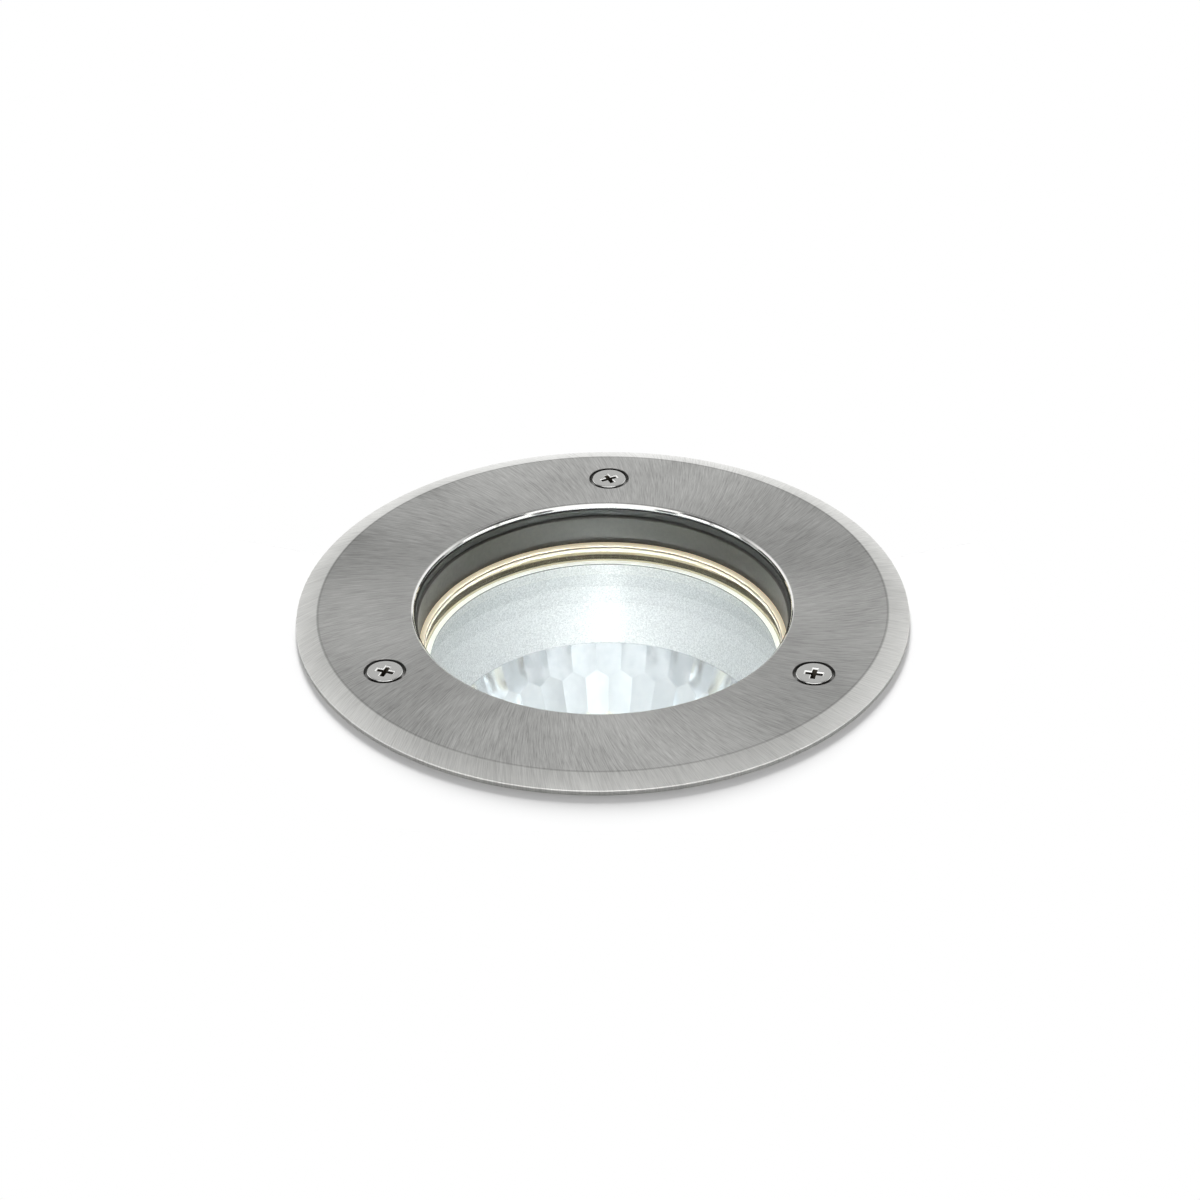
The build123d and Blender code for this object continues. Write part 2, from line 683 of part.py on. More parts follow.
def make_earth_lead():
    """Earth lead from the terminal block's middle pole over to the lug's barrel."""
    over_z = (potting_bottom_z + terminal_top_z) / 2
    points = [
        (0, terminal_y, contact_top_z - LEAD_SOCKET_DEPTH + LEAD_FIT),
        (0, terminal_y, over_z),
        (0, lug_barrel_y, over_z),
        (0, lug_barrel_y, lug_top_z + LEAD_FIT),
    ]
    return make_lead(points)


def make_gland_body():
    """Cable gland: thread through the pot's floor, hexagon, and a lower neck for the nut."""
    body = rod(GLAND_THREAD / 2, hex_top_z + GLAND_UPPER_LENGTH, neck_end_z)
    body += hexagon(GLAND_HEX, hex_top_z, hex_bottom_z)
    body -= rod(GLAND_BORE / 2, hex_top_z + GLAND_UPPER_LENGTH, neck_end_z)
    return body - rod(gland_seal_r() + FIT_GAP, seal_top_z, neck_end_z)


def gland_seal_r():
    """Outer radius of the rubber seal round the cable."""
    return CABLE_DIAMETER / 2 + GLAND_SEAL_WALL


def make_gland_nut():
    """Domed nut that squeezes the seal, with a hole for the cable."""
    top_z = hex_bottom_z - GLAND_NUT_GAP
    hex_low_z = top_z - GLAND_NUT_HEX_HEIGHT
    end_z = hex_low_z - GLAND_NUT_DOME
    bore_r = GLAND_THREAD / 2 + HOLE_GAP
    dome_r = GLAND_NUT_HEX / 2
    mouth_r = GLAND_BORE / 2
    crown_r = mouth_r + GLAND_NUT_WALL
    nut = hexagon(GLAND_NUT_HEX, top_z, hex_low_z)
    nut += turned([(0, end_z), (crown_r, end_z), (dome_r, hex_low_z), (0, hex_low_z)])
    nut -= rod(bore_r, top_z, seal_end_z - MOVING_GAP)
    return nut - rod(mouth_r, top_z, end_z)


def make_locknut():
    """Hexagon nut that holds the gland from inside the pot."""
    nut = hexagon(GLAND_HEX, floor_z + LOCKNUT_HEIGHT, floor_z)
    return nut - rod(GLAND_THREAD / 2 + FIT_GAP, floor_z + LOCKNUT_HEIGHT, floor_z)


nodes = {
    "trim_ring": make_trim_ring(),
    "trim_seal": tube(gasket_r, opening_r - SEAL_INSET, lip_z, clamp_top_z),
    "clamp_ring": make_clamp_ring(),
    "lens_gasket": make_lens_gasket(),
    "glass_lens": make_glass_lens(),
    "glare_sleeve": make_glare_sleeve(),
    "reflector_bowl": make_reflector_bowl(),
    "led_emitter": rod(EMITTER_DIAMETER / 2, board_top_z + EMITTER_HEIGHT, board_top_z),
    "led_board": make_led_board(),
    "thermal_pad": block(BOARD_SIDE, BOARD_SIDE, pad_top_z, plate_top_z),
    "led_holder": make_led_holder(),
    "led_holder_screws": make_led_holder_screws(),
    "heat_sink": make_heat_sink(),
    "heat_sink_screws": make_heat_sink_screws(),
    "driver_pad": rod(driver_r, shoulder_z, driver_top_z),
    "driver_case": make_driver_case(),
    "driver_potting": make_driver_potting(),
    "terminal_block": make_terminal_block(),
    "terminal_contacts": make_terminal_contacts(),
    "terminal_screws": make_terminal_screws(),
    "earth_lug": make_earth_lug(),
    "earth_screw": make_earth_screw(),
    "led_leads": make_led_leads(),
    "driver_leads": make_driver_leads(),
    "earth_lead": make_earth_lead(),
    "housing": make_housing(),
    "flange_ring": make_flange_ring(),
    "plate_standoffs": make_plate_standoffs(),
    "gland_body": make_gland_body(),
    "gland_washer": tube(washer_r + WASHER_WIDTH, washer_r, bottom_z, hex_top_z),
    "gland_locknut": make_locknut(),
    "gland_seal": tube(gland_seal_r(), CABLE_DIAMETER / 2, seal_top_z, seal_end_z),
    "gland_nut": make_gland_nut(),
}
for number, (x, y) in enumerate(screw_places(), start=1):
    nodes[f"trim_screw_{number}"] = Pos(x, y, 0) * make_trim_screw()

os.makedirs("parts", exist_ok=True)
for name, shape in nodes.items():
    solids = shape if isinstance(shape, list) else [shape]
    export_step(Compound(children=solids) if len(solids) > 1 else solids[0], f"parts/{name}.step")
print(f"cover ring {TRIM_DIAMETER:.0f} across, gland's seal ends at {seal_end_z:.1f}")
print(f"screw circle {2 * screw_circle_r:.1f}, glass {2 * glass_r:.1f}, pot {2 * pot_r:.1f}")
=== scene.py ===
"""Recessed ground light: finishes, finer ring, screws and optics, a pale studio and the camera."""
import logging
import math
from collections.abc import Callable, Iterable
from dataclasses import dataclass
from enum import Enum

import bmesh
import bpy
from bmesh.types import BMEdge, BMVert
from bpy.types import Material, NodeSocket, NodeTree, Object
from mathutils import Matrix, Vector


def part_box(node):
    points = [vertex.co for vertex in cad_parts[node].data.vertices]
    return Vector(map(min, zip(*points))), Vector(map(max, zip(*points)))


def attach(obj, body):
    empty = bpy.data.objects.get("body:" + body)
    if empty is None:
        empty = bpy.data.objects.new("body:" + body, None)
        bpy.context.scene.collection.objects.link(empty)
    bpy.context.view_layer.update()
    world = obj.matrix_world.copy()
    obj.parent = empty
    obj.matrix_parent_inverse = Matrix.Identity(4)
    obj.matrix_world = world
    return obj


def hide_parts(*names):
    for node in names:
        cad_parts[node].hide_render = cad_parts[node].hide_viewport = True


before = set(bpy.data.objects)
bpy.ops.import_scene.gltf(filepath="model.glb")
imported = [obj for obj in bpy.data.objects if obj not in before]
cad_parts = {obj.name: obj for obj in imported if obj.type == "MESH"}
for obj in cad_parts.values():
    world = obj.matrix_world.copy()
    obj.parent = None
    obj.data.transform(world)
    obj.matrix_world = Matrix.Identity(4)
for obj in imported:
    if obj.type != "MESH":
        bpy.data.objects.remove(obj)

log = logging.getLogger("ground_light")

MM = 0.001
SCREW_NODES = ("trim_screw_1", "trim_screw_2", "trim_screw_3")


def linear(hex_colour: str) -> tuple[float, float, float, float]:
    """Turn an sRGB hex colour into linear RGBA.

    Args:
        hex_colour: six hex digits, such as "a9abab".

    Returns:
        The linear colour with an alpha of 1.
    """
    parts = [int(hex_colour[i : i + 2], 16) / 255 for i in (0, 2, 4)]
    red, green, blue = [c / 12.92 if c <= 0.04045 else ((c + 0.055) / 1.055) ** 2.4 for c in parts]
    return (red, green, blue, 1.0)


def add_node(
    tree: NodeTree, kind: str, inputs: dict | None = None, out: int | str = 0, **settings: object
) -> NodeSocket | None:
    """Add a node with its settings, its values and its links.

    Args:
        tree: the tree that takes the node.
        kind: the node's type name.
        inputs: input name or number, and the value it gets or the output that feeds it.
        out: name or number of the output that is wanted.
        **settings: properties of the node itself.

    Returns:
        That output, or None for a node that has none.
    """
    node = tree.nodes.new(kind)
    for name, value in settings.items():
        setattr(node, name, value)
    for key, value in (inputs or {}).items():
        if isinstance(value, NodeSocket):
            tree.links.new(value, node.inputs[key])
        else:
            node.inputs[key].default_value = value
    return node.outputs[out] if node.outputs else None


def between(low_mm: float, high_mm: float) -> dict[str, float]:
    """Ends of a range of heights or radii, as a node that maps it takes them."""
    return {"From Min": low_mm * MM, "From Max": high_mm * MM}


def from_axis(tree: NodeTree, place: NodeSocket) -> NodeSocket:
    """Measure the distance from the light's axis.

    Args:
        tree: the material's tree.
        place: the object coordinates.

    Returns:
        The distance in metres.
    """
    flat = add_node(tree, "ShaderNodeVectorMath", {0: place, 1: (1, 1, 0)}, operation="MULTIPLY")
    return add_node(tree, "ShaderNodeVectorMath", {0: flat}, "Value", operation="LENGTH")


def line_at(
    tree: NodeTree, value: NodeSocket, at_mm: float, reach_mm: tuple[float, float], full: float
) -> NodeSocket:
    """Draw a soft line where a radius or a height has a given value.

    Args:
        tree: the material's tree.
        value: the radius or height in metres.
        at_mm: where the line runs.
        reach_mm: distances from there up to which the line is full, and at which it has faded out.
        full: the line's value in its middle.

    Returns:
        The line's value, 0 away from it.
    """
    aside = add_node(tree, "ShaderNodeMath", {0: value, 1: -at_mm * MM}, operation="ADD")
    apart = add_node(tree, "ShaderNodeMath", {0: aside}, operation="ABSOLUTE")
    fade = {"Value": apart, **between(*reach_mm), "To Min": full, "To Max": 0.0}
    return add_node(tree, "ShaderNodeMapRange", fade)


def new_material(name: str, surface: Callable[[NodeTree], NodeSocket]) -> Material:
    """Make a material from nodes.

    Args:
        name: the material's name.
        surface: lays the nodes in a tree and returns the shader's output.

    Returns:
        The material.
    """
    made = bpy.data.materials.new(name)
    made.use_nodes = True
    made.node_tree.nodes.clear()
    add_node(made.node_tree, "ShaderNodeOutputMaterial", {"Surface": surface(made.node_tree)})
    return made


class Pattern(Enum):
    """How a finish's grain lies on the surface."""

    SPECKLE = "even grain"
    TURNED = "rings round the light's axis"


class Finish:
    """A surface finish that becomes one procedural material."""

    name: str

    def surface(self, tree: NodeTree) -> NodeSocket:
        """Lay this finish's nodes and return the shader's output."""
        raise NotImplementedError

    def material(self) -> Material:
        """Build the material once and return it."""
        return bpy.data.materials.get(self.name) or new_material(self.name, self.surface)


@dataclass(frozen=True)
class GrainFinish(Finish):
    """A finish with one grain, such as moulded plastic, rubber, plated or cast metal.

    Attributes:
        name: the material's common name and how its surface was made.
        light: sRGB hex of the grain's high spots.
        dark: sRGB hex of its low spots.
        grain_mm: width of a grain.
        relief_mm: height of a grain.
        roughness: middle roughness.
        swing: change of roughness between low and high spots.
        metallic: 1 for bare metal.
        pattern: how the grain lies.
        sockets: further values set on the shader's own sockets.
    """

    name: str
    light: str
    dark: str
    grain_mm: float
    relief_mm: float
    roughness: float
    swing: float = 0.08
    metallic: float = 0.0
    pattern: Pattern = Pattern.SPECKLE
    sockets: tuple[tuple[str, float], ...] = ()

    def surface(self, tree: NodeTree) -> NodeSocket:
        """Link the grain to colour, roughness and relief.

        Args:
            tree: the material's tree.

        Returns:
            The shader's output.
        """
        place = add_node(tree, "ShaderNodeTexCoord", out="Object")
        if self.pattern is Pattern.TURNED:
            place = add_node(tree, "ShaderNodeCombineXYZ", {"X": from_axis(tree, place)})
        noise = {"Vector": place, "Scale": 1 / (self.grain_mm * MM), "Detail": 3.0, "Roughness": 0.6}
        grain = add_node(tree, "ShaderNodeTexNoise", noise, "Fac")
        tone = add_node(tree, "ShaderNodeMapRange", {"Value": grain, "From Min": 0.3, "From Max": 0.7})
        tones = {0: tone, 6: linear(self.dark), 7: linear(self.light)}
        dull, shiny = self.roughness + self.swing / 2, self.roughness - self.swing / 2
        shader = {
            "Base Color": add_node(tree, "ShaderNodeMix", tones, 2, data_type="RGBA"),
            "Roughness": add_node(tree, "ShaderNodeMapRange", {"Value": tone, "To Min": dull, "To Max": shiny}),
            "Normal": add_node(
                tree, "ShaderNodeBump", {"Height": grain, "Distance": self.relief_mm * MM, "Strength": 1.0}
            ),
            "Metallic": self.metallic,
        }
        return add_node(tree, "ShaderNodeBsdfPrincipled", {**shader, **dict(self.sockets)})


@dataclass(frozen=True)
class LitSiliconeFinish(Finish):
    """Translucent silicone with a painted glow on its lips, as if the lamp shone through, and painted shade in the
    lower lip's groove.

    Attributes:
        name: the material's name.
        light: sRGB hex of thin spots.
        dark: sRGB hex of thick spots.
        shade_tone: sRGB hex of the painted shade in the groove and on the line between the ribs.
        glow: sRGB hex of the painted glow that stands in for lamp light coming through.
        grain_mm: size of the faint clouds in the casting.
        groove_mm: radius of the groove's middle.
        half_mm: half of the groove's width.
        glass_mm: height of the glass's lower face, under which the groove lies.
        rib_mm: height of the line between the upper lip's ribs, where a painted shade line runs.
        through: strength of the painted glow below that line and on the thinner rib above it.
    """

    name: str = "silicone_cast_translucent"
    light: str = "f8f0df"
    dark: str = "eee2ca"
    shade_tone: str = "6a6358"
    glow: str = "ecdcb8"
    grain_mm: float = 1.2
    groove_mm: float = 39.7
    half_mm: float = 0.98
    glass_mm: float = -13.8
    rib_mm: float = -7.73
    through: tuple[float, float] = (0.1, 0.5)

    def surface(self, tree: NodeTree) -> NodeSocket:
        """Link the clouds to the colour, paint shade into the groove and along the rib line, and paint a glow on
        the lips.

        Args:
            tree: the material's tree.

        Returns:
            The shader's output.
        """
        place = add_node(tree, "ShaderNodeTexCoord", out="Object")
        height = add_node(tree, "ShaderNodeSeparateXYZ", {0: place}, "Z")
        noise = {"Vector": place, "Scale": 1 / (self.grain_mm * MM), "Detail": 3.0}
        clouds = add_node(tree, "ShaderNodeTexNoise", noise, "Fac")
        tones = {0: clouds, 6: linear(self.dark), 7: linear(self.light)}
        colour = add_node(tree, "ShaderNodeMix", tones, 2, data_type="RGBA")
        # Painted shade in the lower lip's groove, below the glass.
        reach = (self.half_mm - 0.05, self.half_mm + 0.05)
        within = line_at(tree, from_axis(tree, place), self.groove_mm, reach, 1.0)
        below = between(self.glass_mm + 0.1, self.glass_mm - 0.1)
        under = add_node(tree, "ShaderNodeMapRange", {"Value": height, **below})
        groove = add_node(tree, "ShaderNodeMath", {0: within, 1: under}, operation="MULTIPLY")
        # A painted shade line where the upper lip's ribs meet.
        contact = line_at(tree, height, self.rib_mm, (0.08, 0.15), 0.7)
        dull = add_node(tree, "ShaderNodeMath", {0: groove, 1: contact}, operation="MAXIMUM")
        # The emission is a painted glow, weaker below the rib line than on the thinner rib above it, and none in
        # the painted shade.
        rib = between(self.rib_mm - 0.1, self.rib_mm + 0.1)
        lit = {"Value": height, **rib, "To Min": self.through[0], "To Max": self.through[1]}
        thin = add_node(tree, "ShaderNodeMapRange", lit)
        bare = add_node(tree, "ShaderNodeMath", {0: 1.0, 1: dull}, operation="SUBTRACT")
        shaded = {0: dull, 6: colour, 7: linear(self.shade_tone)}
        shader = {
            "Base Color": add_node(tree, "ShaderNodeMix", shaded, 2, data_type="RGBA"),
            "Roughness": add_node(tree, "ShaderNodeMapRange", {"Value": clouds, "To Min": 0.26, "To Max": 0.16}),
            "Emission Strength": add_node(tree, "ShaderNodeMath", {0: thin, 1: bare}, operation="MULTIPLY"),
            "Emission Color": linear(self.glow),
            "Coat Weight": 0.6,
            "Coat Roughness": 0.08,
        }
        return add_node(tree, "ShaderNodeBsdfPrincipled", shader)


@dataclass(frozen=True)
class BrushedRingFinish(Finish):
    """Stainless steel brushed outwards from the opening, with a finer bevel and a polished inner edge, a painted
    highlight on both and a painted shade line where the bevel starts.

    Attributes:
        name: the material's name.
        light: sRGB hex of the brush lines' high spots.
        dark: sRGB hex of their low spots.
        bevel: sRGB hex of the painted highlight on the bevel; the polished inner edge gets it too, partly as its
            real polish and partly as painted highlight.
        line_tone: sRGB hex of the painted shade line where the bevel starts.
        line_mm: width of a brush line, drawn about twice as coarse as the real one so that it shows.
        length_mm: length of a brush line.
        middle_mm: radius at which a brush line has that width.
        slant: turn of the lines in radians for each metre outwards.
        relief_mm: depth of the brush lines.
        cloud_mm: size of the soft patches that hands and machines leave.
        cloud_share: how much these patches count beside the lines.
        bevel_mm: radius at which the bevel starts.
        wide_mm: width of the bevel up to the brightest part of its painted highlight.
        polish_mm: radius at which the polished inner edge ends.
    """

    name: str = "stainless_steel_brushed"
    light: str = "b9b9b7"
    dark: str = "8f8f8d"
    bevel: str = "e8e8e5"
    line_tone: str = "6e6e6b"
    line_mm: float = 0.2
    length_mm: float = 4.2
    middle_mm: float = 50.0
    slant: float = -5.3
    relief_mm: float = 0.006
    cloud_mm: float = 22.0
    cloud_share: float = 0.26
    bevel_mm: float = 60.5
    wide_mm: float = 4.2
    polish_mm: float = 40.55

    def brush(self, tree: NodeTree, place: NodeSocket) -> NodeSocket:
        """Draw the slanted brush lines.

        Args:
            tree: the material's tree.
            place: the object coordinates.

        Returns:
            The lines' height.
        """
        radius = from_axis(tree, place)
        flat = add_node(tree, "ShaderNodeVectorMath", {0: place, 1: (1, 1, 0)}, operation="MULTIPLY")
        outward = add_node(tree, "ShaderNodeVectorMath", {0: flat}, operation="NORMALIZE")
        turn = add_node(tree, "ShaderNodeMath", {0: radius, 1: self.slant}, operation="MULTIPLY")
        way = {"Vector": outward, "Angle": turn}
        slanted = add_node(tree, "ShaderNodeVectorRotate", way, rotation_type="Z_AXIS")
        across = self.middle_mm / self.line_mm
        per_length = {0: radius, 1: 1 / (self.length_mm * MM)}
        along = add_node(tree, "ShaderNodeMath", per_length, operation="MULTIPLY")
        lift = add_node(tree, "ShaderNodeCombineXYZ", {"Z": along})
        spread = {0: slanted, 1: (across, across, 0), 2: lift}
        line_place = add_node(tree, "ShaderNodeVectorMath", spread, operation="MULTIPLY_ADD")
        noise = {"Vector": line_place, "Scale": 1.0, "Detail": 3.0, "Roughness": 0.65}
        return add_node(tree, "ShaderNodeTexNoise", noise, "Fac")

    def surface(self, tree: NodeTree) -> NodeSocket:
        """Link the brush lines, the bevel's painted highlight, the painted shade line and the polished edge.

        Args:
            tree: the material's tree.

        Returns:
            The shader's output.
        """
        place = add_node(tree, "ShaderNodeTexCoord", out="Object")
        radius = from_axis(tree, place)
        lines = self.brush(tree, place)
        noise = {"Vector": place, "Scale": 1 / (self.cloud_mm * MM), "Detail": 2.0}
        clouds = add_node(tree, "ShaderNodeTexNoise", noise, "Fac")
        both = add_node(tree, "ShaderNodeMix", {0: self.cloud_share, 2: lines, 3: clouds}, data_type="FLOAT")
        tone = add_node(tree, "ShaderNodeMapRange", {"Value": both, "From Min": 0.33, "From Max": 0.67})
        tones = {0: tone, 6: linear(self.dark), 7: linear(self.light)}
        steel = add_node(tree, "ShaderNodeMix", tones, 2, data_type="RGBA")
        start = between(self.bevel_mm - 0.25, self.bevel_mm + 0.25)
        on_bevel = add_node(tree, "ShaderNodeMapRange", {"Value": radius, **start})
        # The polished inner edge is smoother and takes the bevel's pale colour: partly real polish, partly painted
        # highlight.
        inner = between(self.polish_mm + 0.1, self.polish_mm - 0.1)
        polished = add_node(tree, "ShaderNodeMapRange", {"Value": radius, **inner})
        # The bevel is painted paler, brightest towards the ring's edge: a painted highlight.
        shine = add_node(tree, "ShaderNodeMapRange", {"Value": tone, "To Min": 0.6, "To Max": 0.95})
        wide = between(self.bevel_mm, self.bevel_mm + self.wide_mm)
        outer = add_node(tree, "ShaderNodeMapRange", {"Value": radius, **wide, "To Min": 0.72, "To Max": 1.08})
        bright = add_node(tree, "ShaderNodeMath", {0: outer, 1: shine}, operation="MULTIPLY")
        edge = add_node(tree, "ShaderNodeMath", {0: on_bevel, 1: bright}, operation="MULTIPLY")
        pale = add_node(tree, "ShaderNodeMath", {0: edge, 1: polished}, operation="MAXIMUM")
        tones = {0: pale, 6: steel, 7: linear(self.bevel)}
        bare = add_node(tree, "ShaderNodeMix", tones, 2, data_type="RGBA")
        # A painted shade line darkens the spot where brush and bevel meet.
        crease = line_at(tree, radius, self.bevel_mm - 0.15, (0.1, 0.32), 0.4)
        tones = {0: crease, 6: bare, 7: linear(self.line_tone)}
        brushed = add_node(tree, "ShaderNodeMapRange", {"Value": tone, "To Min": 0.42, "To Max": 0.3})
        rough_part = add_node(tree, "ShaderNodeMath", {0: 1.0, 1: polished}, operation="SUBTRACT")
        relief = {"Height": lines, "Strength": rough_part, "Distance": self.relief_mm * MM}
        shader = {
            "Base Color": add_node(tree, "ShaderNodeMix", tones, 2, data_type="RGBA"),
            "Roughness": add_node(tree, "ShaderNodeMix", {0: polished, 2: brushed, 3: 0.07}, data_type="FLOAT"),
            "Normal": add_node(tree, "ShaderNodeBump", relief),
            "Tangent": add_node(tree, "ShaderNodeTangent", direction_type="RADIAL", axis="Z"),
            "Metallic": 1.0,
            "Anisotropic": 0.93,
        }
        return add_node(tree, "ShaderNodeBsdfPrincipled", shader)


@dataclass(frozen=True)
class BlastedSleeveFinish(Finish):
    """Sand-blasted aluminium: a glittering fine grain, and a polished lip at the top with a painted glow and a
    painted shade line under it.

    Attributes:
        name: the material's name.
        light: sRGB hex of facets that face the light.
        dark: sRGB hex of pits.
        lip: sRGB hex of the lip and of its painted glow.
        line_tone: sRGB hex of the painted shade line under the lip.
        grit_mm: width of a blast pit, drawn about twice as coarse as the real one so that it shows.
        relief_mm: depth of a blast pit.
        lip_z_mm: height above which the lip is polished.
    """

    name: str = "aluminium_sand_blasted"
    light: str = "f9fafa"
    dark: str = "d2d4d4"
    lip: str = "fafafa"
    line_tone: str = "6f7576"
    grit_mm: float = 0.36
    relief_mm: float = 0.035
    lip_z_mm: float = -14.2

    def surface(self, tree: NodeTree) -> NodeSocket:
        """Link the blast grain below the lip, leave the lip smooth with a painted glow, and paint a shade line
        under it.

        Args:
            tree: the material's tree.

        Returns:
            The shader's output.
        """
        place = add_node(tree, "ShaderNodeTexCoord", out="Object")
        height = add_node(tree, "ShaderNodeSeparateXYZ", {0: place}, "Z")
        below = between(self.lip_z_mm + 0.04, self.lip_z_mm - 0.04)
        blasted = add_node(tree, "ShaderNodeMapRange", {"Value": height, **below})
        noise = {"Vector": place, "Scale": 1 / (self.grit_mm * MM), "Detail": 2.0, "Roughness": 0.7}
        grit = add_node(tree, "ShaderNodeTexNoise", noise, "Fac")
        tone = add_node(tree, "ShaderNodeMapRange", {"Value": grit, "From Min": 0.35, "From Max": 0.65})
        tones = {0: tone, 6: linear(self.dark), 7: linear(self.light)}
        pits = add_node(tree, "ShaderNodeMix", tones, 2, data_type="RGBA")
        tones = {0: blasted, 6: linear(self.lip), 7: pits}
        clean = add_node(tree, "ShaderNodeMix", tones, 2, data_type="RGBA")
        # A painted shade line just under the lip.
        crease = line_at(tree, height, self.lip_z_mm - 0.1, (0.1, 0.17), 0.95)
        tones = {0: crease, 6: clean, 7: linear(self.line_tone)}
        relief = {"Height": grit, "Strength": blasted, "Distance": self.relief_mm * MM}
        # The lip gets a painted glow, as if it piped some of the lamp's light, so it reads as a white line.
        piped = add_node(tree, "ShaderNodeMapRange", {"Value": blasted, "To Min": 0.5, "To Max": 0.0})
        shader = {
            "Base Color": add_node(tree, "ShaderNodeMix", tones, 2, data_type="RGBA"),
            "Roughness": add_node(tree, "ShaderNodeMapRange", {"Value": blasted, "To Min": 0.22, "To Max": 0.46}),
            "Normal": add_node(tree, "ShaderNodeBump", relief),
            "Metallic": add_node(tree, "ShaderNodeMapRange", {"Value": blasted, "To Min": 0.1, "To Max": 0.9}),
            "Emission Strength": piped,
            "Emission Color": linear(self.lip),
            # The fine turning rings under the blasting stretch highlights up and down.
            "Tangent": add_node(tree, "ShaderNodeTangent", direction_type="RADIAL", axis="Z"),
            "Anisotropic": 0.75,
            "Anisotropic Rotation": 0.25,
        }
        return add_node(tree, "ShaderNodeBsdfPrincipled", shader)


@dataclass(frozen=True)
class ScrewFinish(Finish):
    """Pickled stainless steel: pale on the head, with painted glints on the edges of the head and its recess, and
    painted shade in the recess and below the rim.

    Attributes:
        name: the material's name.
        light: sRGB hex of the grain's high spots.
        dark: sRGB hex of its low spots.
        worn: sRGB hex of the painted glints on the edges of the head and its recess.
        grease: sRGB hex of the painted shade in the recess and on the shank.
        grain_mm: width of a grain.
        relief_mm: height of a grain.
        top_mm: height of the heads' tops.
    """

    name: str = "stainless_steel_pickled"
    light: str = "b0b0ae"
    dark: str = "a4a4a2"
    worn: str = "f6f6f4"
    grease: str = "514c44"
    grain_mm: float = 0.35
    relief_mm: float = 0.003
    top_mm: float = 2.48

    def surface(self, tree: NodeTree) -> NodeSocket:
        """Link the grain, and the depth below the head's top to worn edges, grease and gloss.

        Args:
            tree: the material's tree.

        Returns:
            Link the grain, and the depth below the head's top to painted glints, painted shade and gloss.
        """
        place = add_node(tree, "ShaderNodeTexCoord", out="Object")
        height = add_node(tree, "ShaderNodeSeparateXYZ", {0: place}, "Z")
        # Painted shade: darker in the recess and below the head's rim.
        rim = between(self.top_mm - 0.36, self.top_mm - 0.22)
        clean = add_node(tree, "ShaderNodeMapRange", {"Value": height, **rim})
        # Painted glints: paler on the edges just below the head's top.
        top = between(self.top_mm - 0.04, self.top_mm - 0.01)
        level = add_node(tree, "ShaderNodeMapRange", {"Value": height, **top})
        noise = {"Vector": place, "Scale": 1 / (self.grain_mm * MM), "Detail": 3.0, "Roughness": 0.6}
        grain = add_node(tree, "ShaderNodeTexNoise", noise, "Fac")
        tones = {0: grain, 6: linear(self.dark), 7: linear(self.light)}
        steel = add_node(tree, "ShaderNodeMix", tones, 2, data_type="RGBA")
        tones = {0: level, 6: linear(self.worn), 7: steel}
        rubbed = add_node(tree, "ShaderNodeMix", tones, 2, data_type="RGBA")
        tones = {0: clean, 6: linear(self.grease), 7: rubbed}
        relief = {"Height": grain, "Strength": 1.0, "Distance": self.relief_mm * MM}
        shader = {
            "Base Color": add_node(tree, "ShaderNodeMix", tones, 2, data_type="RGBA"),
            "Roughness": add_node(tree, "ShaderNodeMapRange", {"Value": clean, "To Min": 0.6, "To Max": 0.22}),
            "Normal": add_node(tree, "ShaderNodeBump", relief),
            "Metallic": 1.0,
        }
        return add_node(tree, "ShaderNodeBsdfPrincipled", shader)


@dataclass(frozen=True)
class LampFinish(Finish):
    """Lit phosphor disc: cool white, a little yellower between its dots.

    Attributes:
        name: the material's name.
        glow: sRGB hex of the light.
        resin: sRGB hex of the phosphor itself.
        dot_mm: spacing of the emitting dots.
        strength: radiance of the disc.
    """

    name: str = "phosphor_disc_lit"
    glow: str = "fafcff"
    resin: str = "f3e7a8"
    dot_mm: float = 1.1
    strength: float = 500.0

    def surface(self, tree: NodeTree) -> NodeSocket:
        """Link the dots to the resin's colour and set the light it gives.

        Args:
            tree: the material's tree.

        Returns:
            The shader's output.
        """
        place = add_node(tree, "ShaderNodeTexCoord", out="Object")
        spots = {"Vector": place, "Scale": 1 / (self.dot_mm * MM)}
        dots = add_node(tree, "ShaderNodeTexVoronoi", spots, "Distance")
        tones = {0: dots, 6: linear(self.glow), 7: linear(self.resin)}
        shader = {
            "Base Color": add_node(tree, "ShaderNodeMix", tones, 2, data_type="RGBA"),
            "Roughness": 0.4,
            "Emission Color": linear(self.glow),
            "Emission Strength": self.strength,
        }
        return add_node(tree, "ShaderNodeBsdfPrincipled", shader)


@dataclass(frozen=True)
class GlassFinish(Finish):
    """Toughened float glass: clear, with the faint green of its iron, dull at its ground edge.

    Attributes:
        name: the material's name.
        tint: sRGB hex of light that has passed it.
        edge_mm: radius outside which the edge is ground.
    """

    name: str = "float_glass_toughened"
    tint: str = "fafdfc"
    edge_mm: float = 41.5

    def surface(self, tree: NodeTree) -> NodeSocket:
        """Set the glass with its dull edge, and let the lamps' light pass it plainly.

        Args:
            tree: the material's tree.

        Returns:
            The shader's output.
        """
        radius = from_axis(tree, add_node(tree, "ShaderNodeTexCoord", out="Object"))
        edge = between(self.edge_mm - 0.1, self.edge_mm + 0.1)
        ground = {"Value": radius, **edge, "To Min": 0.0, "To Max": 0.5}
        shader = {
            "Base Color": linear(self.tint),
            "Roughness": add_node(tree, "ShaderNodeMapRange", ground),
            "IOR": 1.5,
            "Transmission Weight": 1.0,
        }
        glass = add_node(tree, "ShaderNodeBsdfPrincipled", shader)
        path = add_node(tree, "ShaderNodeLightPath").node.outputs
        rays = {0: path["Is Shadow Ray"], 1: path["Is Diffuse Ray"]}
        lit = add_node(tree, "ShaderNodeMath", rays, operation="MAXIMUM")
        clear = add_node(tree, "ShaderNodeBsdfTransparent", {"Color": linear(self.tint)})
        return add_node(tree, "ShaderNodeMixShader", {0: lit, 1: glass, 2: clear})


